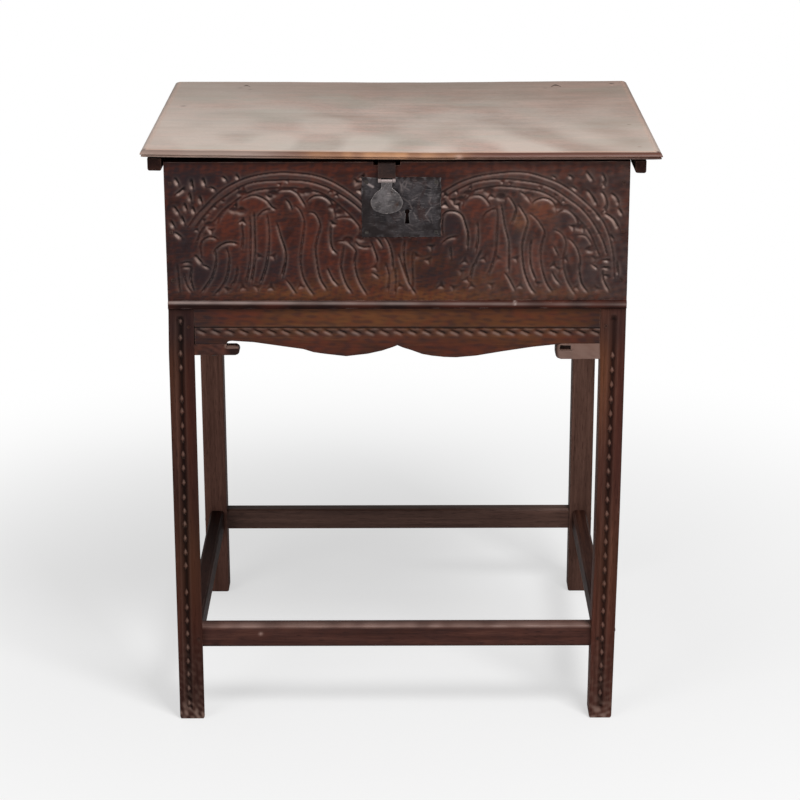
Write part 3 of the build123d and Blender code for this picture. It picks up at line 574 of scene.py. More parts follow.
def set_points(piece, points):
    piece.data.vertices.foreach_set("co", (points * MM).ravel())
    piece.data.update()


def set_marks(piece, **marks):
    """Numbers on each point, under a name, for a material to read."""
    for label, values in marks.items():
        layer = piece.data.attributes.get(label) or piece.data.attributes.new(label, "FLOAT", "POINT")
        layer.data.foreach_set("value", np.clip(values, 0, 1))


def add_mark(piece, label, more):
    """Add to a mark that the surface already has."""
    values = np.empty(len(piece.data.vertices))
    piece.data.attributes[label].data.foreach_get("value", values)
    set_marks(piece, **{label: values + more})


def extrude_rim(offset=(0, 0, 0)):
    bpy.ops.mesh.extrude_region_move(TRANSFORM_OT_translate={"value": offset})


def resize(factors, centre):
    """Scale the selected points about a centre in millimetres."""
    bpy.ops.transform.resize(value=factors, center_override=tuple(part * MM for part in centre))


def edit_rim(piece):
    """Edit a piece with its open edges selected."""
    edit(piece, "EDGE")
    bpy.ops.mesh.select_all(action="SELECT")
    bpy.ops.mesh.region_to_loop()


def close_rim():
    """Fill the selected rim, and stop editing."""
    bpy.ops.mesh.edge_face_add()
    done_editing()


def extrude_back(piece, back_y):
    """Extrude a worked face straight back to a plane, and close it there."""
    edit_rim(piece)
    extrude_rim()
    resize((1, 0, 1), (0, back_y, 0))
    close_rim()


def rounded_back(piece, low, high, radius):
    """Extrude a front grid back to a board with rounded arrises."""
    centre_x, centre_z = (low[0] + high[0]) / 2, (low[2] + high[2]) / 2
    half_x, half_z = (high[0] - low[0]) / 2, (high[2] - low[2]) / 2
    turns = [math.radians(step) for step in (30, 60, 90)]
    steps = [(radius * (1 - math.sin(t)), low[1] + radius * (1 - math.cos(t))) for t in turns]
    steps += [(inset, low[1] + high[1] - y) for inset, y in reversed(steps)]
    steps.append((radius, high[1]))
    edit_rim(piece)
    last = (half_x - radius, half_z - radius)
    for inset, y in steps:
        extrude_rim()
        resize((1, 0, 1), (0, y, 0))
        new = (half_x - inset, half_z - inset)
        resize((new[0] / last[0], 1, new[1] / last[1]), (centre_x, 0, centre_z))
        last = new
    close_rim()


def finish_piece(piece, body, finish, replaced, angle=35):
    """Clean the mesh, smooth it, and hand the piece to its body."""
    edit(piece)
    bpy.ops.mesh.select_all(action="SELECT")
    bpy.ops.mesh.remove_doubles(threshold=0.01 * MM)
    bpy.ops.mesh.normals_make_consistent(inside=False)
    done_editing()
    apply_place()
    bpy.ops.object.shade_smooth_by_angle(angle=math.radians(angle))
    piece.data.materials.clear()
    piece.data.materials.append(finish)
    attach(piece, body)
    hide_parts(replaced)
    print(piece.name, "faces:", len(piece.data.polygons))


print("board helpers ready")

# %% [markdown]
# Worn places, stains and bruises are written as fields: a number for each point of a
# surface. A ramp rises between two values, a spot fades around a place, ripples are
# the slow waves of a surface that was scraped by hand, and mottling is patchy.


# %% Fields
full_turn = 6.28


def ramp(values, zero_at, one_at):
    """0 up to one value, 1 from another, and straight between them."""
    return np.clip((values - zero_at) / (one_at - zero_at), 0, 1)


def spot(u, v, place, reach):
    """1 at a place, and fading around it."""
    return np.exp(-(((u - place[0]) / reach[0]) ** 2) - ((v - place[1]) / reach[1]) ** 2)


def ripple(u, v, seed, lengths, height):
    """Slow waves for a surface that was planed and scraped by hand."""
    chance = np.random.default_rng(seed)
    total = np.zeros(u.shape)
    for _ in range(7):
        a, b = chance.uniform(0.6, 1.6, 2) / np.array(lengths)
        wave = np.sin(u * a * full_turn + chance.uniform(0, full_turn))
        total += wave * np.sin(v * b * full_turn + chance.uniform(0, full_turn))
    return total * height / 3


def mottle(u, v, seed, length):
    """Uneven patches without a direction, between 0 and 1."""
    chance = np.random.default_rng(seed)
    total = np.zeros(u.shape)
    for _ in range(14):
        angle, stretch = chance.uniform(0, full_turn), chance.uniform(0.5, 2.2) / length
        across = u * math.cos(angle) + v * math.sin(angle)
        total += np.sin(across * stretch * full_turn + chance.uniform(0, full_turn))
    return np.clip(0.5 + total / 7.5, 0, 1)


def tint(piece, label, places):
    """Mark a worked face in places: each is x, z, reach along x, reach along z, how much."""
    x, y, z = points_of(piece).T
    much = np.zeros(len(x))
    for place_x, place_z, wide, high, most in places:
        much = np.maximum(much, most * spot(x, z, (place_x, place_z), (wide, high)))
    set_marks(piece, **{label: much})


print("fields ready")

# %% [markdown]
# A cut is a line of points that the tool follows, with a width and a depth. The
# depth at a point of the grid depends on how near the line is: a V tool gives a
# straight slope, and a gouge a round hollow. Where cuts cross, the deepest counts.

# %% Cutting tools
light_side = (-0.45, -0.9)


def distance_to_line(u, v, line):
    """Distance from points to a line of points, how far along, and on which side."""
    best = np.full(u.shape, 1e9)
    run = np.zeros(u.shape)
    below = np.zeros(u.shape)
    travelled = 0.0
    for (u0, v0), (u1, v1) in zip(line[:-1], line[1:]):
        du, dv = u1 - u0, v1 - v0
        length = math.hypot(du, dv)
        part = np.clip(((u - u0) * du + (v - v0) * dv) / length**2, 0, 1)
        off_u, off_v = u - u0 - part * du, v - v0 - part * dv
        distance = np.hypot(off_u, off_v)
        nearer = distance < best
        best = np.where(nearer, distance, best)
        run = np.where(nearer, travelled + part * length, run)
        below = np.where(nearer, off_u * light_side[0] + off_v * light_side[1] > 0, below)
        travelled += length
    return best, run, below, travelled


def cut_line(depth, u, v, line, wide, narrow, deep, swell=0.0, taper=5):
    """Cut one groove: a wide slope on its lower side and a steep one above it."""
    us, vs = zip(*line)
    room = 2 * wide
    near = (u > min(us) - room) & (u < max(us) + room) & (v > min(vs) - room) & (v < max(vs) + room)
    distance, run, below, length = distance_to_line(u[near], v[near], line)
    growth = 1 - swell + 2 * swell * run / length
    reach = np.where(below > 0, wide, narrow) * growth
    shape = np.clip(1 - distance / reach, 0, 1)
    ends = np.clip(np.minimum(run, length - run) / taper + 0.3, 0, 1)
    depth[near] = np.maximum(depth[near], deep * growth**0.5 * shape * ends)


def cut_chip(depth, u, v, place, size, deep, angle):
    """One chip from a corner stroke of the tool: three sloping sides."""
    near = (abs(u - place[0]) < size) & (abs(v - place[1]) < size)
    du, dv = u[near] - place[0], v[near] - place[1]
    turns = (angle + math.radians(side) for side in (90, 210, 330))
    sides = [du * math.cos(turn) + dv * math.sin(turn) for turn in turns]
    inside = np.clip(1 - np.maximum.reduce(sides) / (size / 2.2), 0, 1)
    depth[near] = np.maximum(depth[near], deep * inside)


def soften(field, passes=1):
    """Blend each value of a two-way table with its neighbours."""
    for _ in range(passes):
        padded = np.pad(field, 1, mode="edge")
        across = (padded[1:-1, :-2] + 2 * padded[1:-1, 1:-1] + padded[1:-1, 2:]) / 4
        padded = np.pad(across, 1, mode="edge")
        field = (padded[:-2, 1:-1] + 2 * padded[1:-1, 1:-1] + padded[2:, 1:-1]) / 4
    return field


def as_table(values, cells):
    """Point values of a grid as rows and columns, the way the grid stores them."""
    return values.reshape(cells[1] + 1, cells[0] + 1)


def mark_relief(piece, table, scale, step, bright=0.0):
    """Write where the surface is hollow or turned from the light, as hollow and painted shade, and where it
    stands proud or faces the light, as a rubbed rim and painted highlight.
    """
    proud = (soften(table, 6) - table) * scale
    slope_v, slope_u = np.gradient(table, step)
    facing_light = -(slope_u * light_side[0] + slope_v * light_side[1])
    # Painted highlight on slopes turned to the light is added to the proud rims. Painted shade on slopes
    # turned away is added to the dark wax in the hollows.
    rim = np.clip(proud * 0.35, 0, 0.4) + np.clip(facing_light * (1.35 + bright) - 0.2, 0, 0.95)
    hollow = np.clip(-proud * 0.9, 0, 1) * np.clip(1 - facing_light * 2.5, 0.05, 1)
    hollow += np.clip(-facing_light, 0, 0.8)
    set_marks(piece, rim=rim.ravel(), hollow=hollow.ravel())


print("cutting tools ready")

# %% [markdown]
# ## The carved front
# Two lunettes of leaves stand side by side, with crescent cuts in the corners. The
# lines below are the carver's drawing, in millimetres from the middle of the lid and
# from the floor. Double lines edge each arch, the leaves have chopped outlines, and
# long gouge strokes run down from them. Chips, dots and wedges are single strokes.

# %% Lines of the lunettes
arches = [[(-294, 751), (-284, 766), (-268, 783), (-248, 802), (-226, 815), (-207, 822), (-187, 826),
    (-165, 828), (-144, 827), (-120, 824), (-97, 816), (-74, 802), (-56, 787), (-48, 776)], [(-285, 750),
    (-272, 767), (-256, 784), (-237, 798), (-219, 809), (-199, 815), (-172, 817), (-144, 817), (-122, 814),
    (-100, 806), (-79, 794), (-63, 782), (-53, 772)], [(-283, 729), (-274, 749), (-259, 759), (-246, 774),
    (-231, 786), (-215, 797), (-199, 803), (-173, 806), (-149, 806), (-130, 803), (-111, 799), (-94, 788),
    (-79, 775), (-67, 763), (-56, 748)], [(53, 798), (65, 805), (79, 813), (94, 819), (109, 823),
    (129, 826), (150, 828), (173, 827), (194, 821), (215, 813), (233, 802), (249, 789), (265, 774),
    (278, 758), (287, 738), (292, 718), (295, 698), (296, 675)], [(54, 786), (68, 798), (83, 806),
    (98, 813), (117, 817), (139, 818), (164, 816), (188, 812), (209, 804), (230, 790), (247, 777),
    (261, 761), (271, 745), (280, 727), (285, 710)], [(79, 781), (87, 793), (98, 801), (112, 805),
    (131, 808), (153, 807), (173, 804), (193, 800), (210, 791), (221, 781), (233, 772), (247, 758),
    (259, 743), (268, 724), (275, 707)]]
leaves = [[(-277, 707), (-278, 721), (-275, 732), (-269, 736), (-261, 737), (-254, 733)], [(-259, 706),
    (-258, 717), (-253, 723), (-244, 728), (-235, 729), (-226, 727)], [(-258, 717), (-257, 703),
    (-259, 691), (-263, 680), (-271, 668), (-279, 657)], [(-242, 722), (-239, 707), (-240, 691),
    (-243, 678), (-251, 665), (-260, 654)], [(-228, 697), (-228, 686), (-231, 676), (-237, 667)],
    [(-253, 757), (-248, 769), (-241, 777), (-234, 783), (-229, 783)], [(-221, 789), (-214, 793),
    (-204, 796), (-195, 794), (-185, 788), (-179, 780), (-172, 776)], [(-199, 764), (-195, 770),
    (-188, 775), (-181, 777)], [(-220, 766), (-220, 752), (-219, 734), (-221, 717)], [(-209, 766),
    (-208, 743), (-209, 720), (-210, 697), (-215, 674)], [(-203, 772), (-203, 746), (-203, 717),
    (-205, 694), (-209, 671)], [(-185, 769), (-183, 743), (-184, 717), (-188, 693), (-196, 670)],
    [(-172, 757), (-167, 737), (-161, 717), (-161, 700), (-166, 679)], [(-159, 791), (-154, 784),
    (-151, 776)], [(-173, 802), (-155, 804), (-144, 799), (-137, 789), (-132, 780)], [(-147, 782),
    (-140, 775), (-135, 763), (-134, 752), (-136, 735), (-139, 715), (-140, 697), (-137, 679), (-130, 664),
    (-122, 653)], [(-130, 787), (-122, 794), (-111, 795), (-101, 790), (-95, 782), (-92, 772), (-92, 764)],
    [(-129, 772), (-121, 771), (-115, 763), (-112, 750), (-116, 735), (-119, 718), (-117, 695), (-113, 676),
    (-104, 660)], [(-92, 763), (-82, 765), (-71, 764), (-63, 758), (-58, 751), (-57, 741), (-60, 732)],
    [(-96, 758), (-98, 743), (-98, 728), (-95, 718), (-89, 713)], [(-103, 693), (-99, 682), (-94, 673),
    (-88, 667)], [(-89, 731), (-78, 730), (-69, 724), (-63, 715), (-65, 700), (-63, 685), (-58, 670),
    (-48, 653)], [(-80, 723), (-82, 709), (-84, 693), (-81, 679), (-76, 666), (-69, 656)], [(-64, 731),
    (-59, 724), (-51, 722), (-42, 723)], [(-42, 731), (-38, 718), (-34, 706), (-35, 698)], [(-35, 736),
    (-31, 731), (-26, 722)], [(-24, 738), (-17, 725), (-13, 708), (-12, 689)], [(-42, 686), (-37, 683),
    (-31, 678)], [(-22, 699), (-17, 679), (-19, 657)], [(-9, 692), (-8, 672), (-9, 653)], [(-161, 676),
    (-154, 666), (-147, 655)], [(-4, 712), (2, 692), (9, 672), (20, 654)], [(5, 732), (3, 712), (5, 692),
    (10, 672)], [(16, 715), (15, 695), (16, 669), (13, 656)], [(55, 726), (64, 734), (77, 737)], [(57, 738),
    (56, 754), (58, 768), (65, 773), (76, 772), (84, 766), (88, 755), (92, 738), (91, 719)], [(68, 722),
    (69, 704)], [(84, 779), (88, 789), (98, 795), (109, 795), (117, 789), (122, 781)], [(112, 762),
    (115, 769), (122, 774), (131, 778)], [(105, 758), (106, 735), (103, 715)], [(131, 781), (133, 761),
    (132, 738), (131, 715), (126, 695), (120, 681)], [(137, 784), (140, 767), (143, 749), (148, 730),
    (149, 709), (149, 685)], [(143, 784), (146, 794), (153, 786), (158, 775), (156, 764), (152, 754)],
    [(161, 782), (166, 774), (172, 764), (174, 754), (170, 738), (167, 721), (168, 701), (172, 681),
    (180, 662), (186, 655)], [(163, 801), (171, 795), (178, 786)], [(111, 718), (105, 704), (99, 691),
    (96, 676)], [(143, 686), (150, 675), (158, 659)], [(180, 781), (183, 787), (194, 791), (204, 789),
    (211, 782), (213, 772)], [(175, 771), (184, 764), (192, 754), (198, 741), (194, 724), (193, 705),
    (196, 687), (202, 669), (210, 657)], [(214, 769), (222, 774), (232, 772), (240, 764), (244, 754),
    (240, 747)], [(210, 747), (220, 742), (226, 733), (228, 721), (225, 707), (225, 692), (230, 674),
    (237, 661), (243, 653)], [(210, 725), (217, 710)], [(230, 735), (238, 727), (244, 717), (248, 702),
    (247, 687), (251, 668), (260, 656)], [(242, 739), (254, 738), (261, 730), (266, 720), (267, 713)],
    [(209, 687), (214, 676), (221, 668)], [(263, 698), (273, 690)], [(280, 688), (281, 674), (289, 658)],
    [(180, 732), (178, 712), (180, 692), (187, 673)], [(-278, 698), (-266, 692)], [(-305, 700),
    (-292, 701)], [(-305, 694), (-292, 694)], [(-311, 697), (-309, 657)], [(-302, 684), (-299, 668),
    (-292, 657)], [(-291, 694), (-293, 675), (-289, 658)]]
nicks = [[(-310, 821), (-306, 811)], [(-288, 819), (-287, 805)], [(-272, 821), (-270, 810)], [(-277, 795),
    (-275, 784)], [(-298, 785), (-296, 774)], [(-313, 781), (-307, 770)], [(-310, 797), (-298, 807)],
    [(-291, 800), (-290, 788)], [(-262, 808), (-256, 804)], [(-245, 823), (-240, 817)], [(-226, 826),
    (-223, 818)], [(-313, 744), (-304, 736)], [(-303, 767), (-300, 756)], [(-318, 761), (-314, 751)],
    [(-287, 780), (-285, 770)], [(-286, 711), (-277, 699)], [(254, 829), (263, 816)], [(276, 826),
    (280, 815), (276, 806)], [(255, 803), (263, 793), (269, 782)], [(275, 801), (281, 792), (283, 780),
    (279, 770)], [(289, 798), (297, 790), (299, 781)], [(280, 770), (293, 761), (300, 748)], [(234, 808),
    (242, 802)], [(207, 823), (213, 818)], [(229, 824), (235, 820)], [(289, 740), (294, 731)], [(279, 703),
    (289, 703)], [(278, 692), (289, 692)], [(279, 681), (288, 680)], [(299, 701), (301, 681)], [(299, 778),
    (305, 767)], [(269, 770), (275, 761)]]
chips = [(-263, 746), (-219, 759), (-182, 793), (-229, 781), (-95, 755), (78, 781), (123, 794), (251, 748),
    (211, 695), (268, 705), (114, 705), (134, 705), (159, 705), (97, 666), (125, 667), (165, 666),
    (189, 669), (227, 705), (-198, 709), (-178, 709), (-221, 664), (-201, 664), (-182, 664), (-243, 661),
    (-37, 693), (21, 709), (37, 703), (-140, 666), (237, 750), (88, 701), (83, 686), (91, 675), (-48, 806),
    (-56, 802), (61, 795), (71, 788), (60, 782), (219, 689), (-53, 821), (-61, 814), (-48, 813), (-3, 666),
    (41, 722), (55, 666), (72, 663), (244, 663), (272, 661)]
dots = [(-273, 761), (-267, 770), (-225, 805), (-217, 805), (-157, 816), (-167, 811), (-246, 788),
    (-257, 779), (-97, 801), (-89, 796), (139, 814), (150, 812), (212, 795), (223, 787), (95, 806),
    (76, 800), (191, 806), (258, 772), (273, 741), (-283, 747)]
wedges = [(-265, 754), (-231, 776), (-219, 799), (-176, 799), (-137, 801), (-130, 802), (-93, 779),
    (-86, 772), (83, 789), (120, 801), (175, 795), (215, 779), (246, 750), (228, 777), (-56, 735),
    (-74, 732), (-221, 774), (137, 793), (93, 798), (262, 718)]
print("lines:", len(arches) + len(leaves) + len(nicks), "chips:", len(chips))


# %% Carve the front
def flowing(line, steps=4):
    """A smooth line through the points of a drawn one."""
    ends = [line[0], *line, line[-1]]
    smooth = []
    for a, b, c, d in zip(ends[:-3], ends[1:-2], ends[2:-1], ends[3:]):
        for t in (step / steps for step in range(steps)):
            smooth.append(tuple(
                0.5 * (
                    2 * q + (r - p) * t + (2 * p - 5 * q + 4 * r - w) * t**2
                    + (3 * q - p - 3 * r + w) * t**3
                )
                for p, q, r, w in zip(a, b, c, d)
            ))
    return smooth + [line[-1]]


front_y = -246
box_left, box_right, box_foot, box_top = -326, 314, 645, 843
front_cells = (552, 171)
front = face_grid("carved_front", (box_left, front_y, box_foot), (box_right, front_y, box_top), front_cells)
points = points_of(front)
u, v = points[:, 0], points[:, 2]
depth = np.zeros(u.shape)
for x, z in wedges:
    away = ((u - x) / 7) ** 2 + ((v - z) / 5) ** 2
    depth = np.maximum(depth, 2.2 * np.exp(-(away**2)))
for line in arches:
    cut_line(depth, u, v, flowing(line), 2.7, 1.8, 1.9)
chance = np.random.default_rng(29)
for line in leaves:
    cut_line(depth, u, v, flowing(line), 2.8, 1.6, chance.uniform(1.8, 2.9), swell=0.25, taper=7)
quiet = soften(as_table(depth, front_cells))
for line in nicks:
    cut_line(depth, u, v, flowing(line), 4.4, 2.2, 3.4 if line[0][0] < 0 else 2.9, swell=0.2)
for index, place in enumerate(chips):
    cut_chip(depth, u, v, place, 9.5, 3.3 if place[1] > 735 else 2.2, 0.9 * index)
for index, place in enumerate(dots):
    cut_chip(depth, u, v, place, 6.5, 2.0, 1.7 * index)
table = soften(as_table(depth, front_cells))
# Painted glints: bright sparks in the nicks, mostly in the upper left.
glints = 1.3 * mottle(u, v, 19, 26) * np.clip(1.25 - (v < 735) * 0.9 - np.abs(u + 120) / 700, 0, 1)
in_lunettes = ramp(812 - np.abs(np.abs(u + 6) - 155) * 0.35 - v, 0, 20)
worked = table.ravel() + ripple(u, v, 3, (90, 60), 0.25) + in_lunettes * (mottle(u, v, 13, 13) - 0.5) * 0.7
print("deepest cut:", round(float(table.max()), 2), "mm")

# %% [markdown]
# The lock needs two sinkings: a shallow one for its plate, and a deep one for its
# bolt. Then the marks say where the wood is hollow and where painted shade lies, where it is rubbed and
# where a painted highlight lies, and where the patina is amber, red or sooty.

# %% Sink the lock and mark the patina
plate_seat, lock_room = 0.6, 9.0
worked = np.where((abs(u) < 55.2) & (abs(v - 779) < 42.7), plate_seat, worked)
worked = np.where((u > -27.5) & (u < 54) & (v > 750) & (v < 812), lock_room, worked)
points[:, 1] += np.maximum(worked, -0.3)
set_points(front, points)
nick_glints = np.clip((table - quiet) / 0.8, 0, 1) * as_table(glints, front_cells)
# Painted highlight on facets turned to the light, stronger where the glints fall, and painted shade on
# those turned away.
mark_relief(front, table, 1.0, 1.16, bright=nick_glints)
warm_places = [(27, 651, 124, 12, 0.9), (-140, 655, 83, 10, 0.8), (-84, 663, 55, 14, 0.6),
    (-15, 675, 41, 19, 0.6), (27, 701, 41, 19, 0.35), (222, 656, 69, 8, 0.5), (111, 675, 41, 17, 0.4),
    (165, 758, 12, 12, 0.8), (193, 775, 17, 14, 1.0)]
tint(front, "warm", warm_places)
red_places = [(-205, 783, 18, 10, 1), (-242, 752, 19, 17, 1), (-183, 743, 17, 28, 0.9),
    (-128, 739, 19, 33, 0.8), (-77, 749, 19, 15, 0.5), (-139, 782, 14, 12, 0.6), (104, 778, 19, 14, 0.8),
    (121, 747, 19, 25, 0.5), (193, 772, 19, 17, 0.9), (220, 733, 28, 19, 0.4), (-138, 834, 193, 6, 0.7),
    (136, 834, 166, 6, 0.8), (185, 701, 19, 25, 0.6), (141, 701, 22, 25, 0.6), (-42, 706, 22, 17, 0.6),
    (-270, 717, 11, 12, 0.6), (-162, 811, 55, 6, 0.5), (-215, 722, 26, 34, 0.55), (-152, 694, 20, 26, 0.5),
    (-100, 700, 20, 28, 0.5), (-30, 655, 60, 14, 0.4)]
tint(front, "red", red_places)
soot_places = [(-272, 686, 47, 28, 0.9), (-301, 731, 19, 41, 0.7), (-296, 817, 30, 19, 0.7),
    (68, 755, 15, 17, 1.0), (157, 735, 11, 11, 0.9), (263, 679, 19, 19, 0.9), (255, 728, 14, 14, 0.5),
    (299, 690, 17, 55, 0.6), (41, 682, 30, 17, 0.5), (55, 718, 36, 14, 0.5), (-181, 696, 40, 20, 0.8),
    (228, 761, 17, 12, 0.6), (-56, 789, 17, 19, 0.6), (287, 818, 30, 19, 0.35), (96, 701, 28, 19, 0.5)]
tint(front, "soot", soot_places)
add_mark(front, "red", 0.55 * mottle(u, v * 1.3, 75, 19) ** 2)
add_mark(front, "soot", 0.6 * mottle(u, v * 1.5, 77, 13) ** 2 + 0.45 * spot(u, v, (-235, 818), (85, 16)))
# A painted highlight, stronger towards the right of the front.
add_mark(front, "rim", 0.11 * ramp(u, 40, 160) * (0.4 + 0.6 * mottle(u, v, 79, 24)))
print("patina places:", len(warm_places + red_places + soot_places))

# %% [markdown]
# The top edge has a small notch for the hasp's strap. Its faces are deleted before
# the rim is extruded, so that the notch gets its own walls.

# %% Back the front
strap_x, notch_half, notch_foot = -20, 19, 838
edit(front)
mesh = bmesh.from_edit_mesh(front.data)
for face in mesh.faces:
    middle = face.calc_center_median() / MM
    face.select_set(abs(middle.x - strap_x) < notch_half and middle.z > notch_foot)
bmesh.update_edit_mesh(front.data)
bpy.ops.mesh.delete(type="FACE")
done_editing()
extrude_back(front, front_y + 18)
finish_piece(front, "box", oak["carved"], "front_board")

# %% [markdown]
# ## The lid
# The lid is one wide board with a thumb moulding on the front and both ends. The
# flat field is a grid, and the moulding is drawn by extruding its rim outward and
# down, one step of the profile at a time. Scaling about the back edge keeps the back
# plain, because points on that line don't move. Rings on the underside keep its
# shading even.

# %% Lid board
lid_half, lid_front, lid_back, lid_top, lid_foot = 356.5, -259, 259, 857, 843
lid_depth = lid_back - lid_front
lid_profile = [(9.0, 857.0), (6.2, 856.8), (3.6, 856.1), (1.5, 854.9), (0.4, 853.6), (0.0, 852.4),
    (0.5, 851.4), (2.2, 850.9), (2.6, 850.4), (1.6, 849.9), (1.3, 849.0), (2.2, 848.1), (11.0, 843.0)]
field_inset = lid_profile[0][0]
lid = face_grid(
    "moulded_lid", (field_inset - lid_half, lid_front + field_inset, lid_top),
    (lid_half - field_inset, lid_back, lid_top), (240, 172), upright=False,
)
edit_rim(lid)
for (last_inset, last_z), (inset, z) in zip(lid_profile[:-1], lid_profile[1:]):
    extrude_rim((0, 0, (z - last_z) * MM))
    grow_x = (lid_half - inset) / (lid_half - last_inset)
    grow_y = (lid_depth - inset) / (lid_depth - last_inset)
    resize((grow_x, grow_y, 1), (0, lid_back, 0))
for keep in (0.8, 0.7, 0.6, 0.4):
    extrude_rim()
    resize((keep, keep, 1), (0, 0, lid_foot))
close_rim()
print("lid profile steps:", len(lid_profile))

# %% [markdown]
# The board has cast over the years: its left front corner stands a little high, and
# the middle of its back sags. Spots, a chip on the front edge and long wear follow,
# and then the marks for the lid's own finish.


# %% Age the lid
def lid_lift(x, y):
    """How far the lid and its cleats stand up from their first plane."""
    return 5.2 * np.clip((40 - x) / 390, 0, 1) ** 1.1 * np.clip((lid_back + 1 - y) / 520, 0, 1)


# Each spot is x, y, reach along x, reach along y, and how deep.
lid_spots = [(330.4, 238.4, 3.2, 3.2, 1), (-325.7, 60.2, 3.5, 5, 0.55), (-250.5, 208.0, 3, 4, 0.35),
    (-234.1, 196.1, 3, 4, 0.35), (224.6, 204.8, 3, 4, 0.3), (-146.5, -39.1, 14, 3, 0.12),
    (169.0, -125.0, 20, 3, 0.1)]
points = points_of(lid)
x, y, z = points.T.copy()
upper, sawn, toward_front = z > 847, ramp(z, 849.5, 847.5), ramp(y, 260, -260)
field_edge = np.minimum(np.minimum(x + lid_half, lid_half - x), y - lid_front)
wear = np.abs(ripple(x, y, 11, (260, 120), 0.3))
sag = 1.8 * (1 - toward_front) * np.exp(-(((x - 20) / 190) ** 2))
spots = np.zeros(len(x))
for spot_x, spot_y, wide, long, deep in lid_spots:
    spots = np.maximum(spots, deep * spot(x, y, (spot_x, spot_y), (wide, long)))
chipped = spot(x, z, (79, 851.5), (4.2, 2.6)) * (y < -255)
points[:, 1] = y = np.where(z < 844, np.maximum(y, -236), y) + 1.4 * chipped
points[:, 2] = z = z + lid_lift(x, y) - (sag + wear + 0.5 * spots) * upper
set_points(lid, points)
print("left front corner stands up:", round(float(lid_lift(-lid_half, lid_front)), 1), "mm")

# %% Mark the lid
streaky = 0.25 + 0.75 * np.clip(0.5 + ripple(x, y, 21, (170, 300), 0.9), 0, 1)
left_fade = 0.45 * ramp(x, -40, -300)
at_front = ramp(y, -240, -248)
# A painted highlight along the top arris of the moulding, strongest at the front.
arris = np.exp(-(((field_edge - 7.6 - 3.4 * at_front) / 2.2) ** 2))
moulding = ramp(field_edge, 6.0 + 2.6 * at_front, 4.2 + 2.6 * at_front) * (0.25 + 0.75 * at_front)
left_pale = 0.32 * ramp(x, -120, -210)
gold = np.exp(-(((x + 25) / 105) ** 4)) * (0.45 + 0.55 * mottle(x, z * 0, 27, 45)) * ramp(field_edge, 9, 7)
set_marks(
    lid, sawn=sawn,
    # The field pales towards the front, partly fading and partly painted sheen. Towards the back it is
    # browner, where that sheen is weakest.
    field_fade=1.12 * toward_front**1.5 * streaky + 0.06 + left_fade,
    brown=1.3 * ramp(y, 30, 250) + np.clip((x - 120) / 250, 0, 0.6),
    arris=arris * upper * (0.3 + 0.7 * at_front) + chipped,
    moulding=moulding * upper * (y < 258) * (1 - left_pale) - chipped,
    gold=gold * at_front * (z > 846) * (1 - chipped),
    # Painted shade under the moulding's lower roll, above the sawn underside, and dark spots in the dents.
    hollow=np.clip((850.9 - z) / 3, 0, 0.85) * (1 - sawn) + spots * upper,
)
finish_piece(lid, "lid", oak["lid"], "lid_board")

# %% [markdown]
# ## The cleats
# Two battens under the overhanging ends keep the lid flat. Their lower corners are
# chamfered and worn, and they follow the lid, which lifts a little on the left.

# %% Cleats
chamfer_top = 830
for side_name, low_x, width in (("left", -348, 19), ("right", 321, 15)):
    cleat = block(side_name + "_batten", (low_x, -244, 825), (low_x + width, 238, lid_foot))
    edit(cleat, "EDGE")
    mesh = bmesh.from_edit_mesh(cleat.data)
    for edge in mesh.edges:
        edge.select_set(all(vert.co.z < chamfer_top * MM for vert in edge.verts))
    bmesh.update_edit_mesh(cleat.data)
    bpy.ops.mesh.bevel(offset=4.2 * MM, segments=3, profile=0.55, affect="EDGES")
    bpy.ops.mesh.select_all(action="SELECT")
    bpy.ops.mesh.subdivide(number_cuts=3)
    done_editing()
    points = points_of(cleat)
    x, y, z = points.T.copy()
    wear = np.abs(ripple(y + 40, x, 31 + low_x % 7, (70, 25), 0.5)) * (z < chamfer_top)
    points[:, 2] += wear + lid_lift(x, y)
    set_points(cleat, points)
    finish_piece(cleat, "lid", oak["along_y"], side_name + "_cleat")

# %% [markdown]
# ## The front legs
# Each front leg has a V channel down its face, and the carver left a row of small
# diamond pips standing in it. The leg is a grid for the front face, with its rim
# rounded over and extruded back. The stand has racked, so both feet stand a little
# to the left, and the legs are worn slimmer in places.

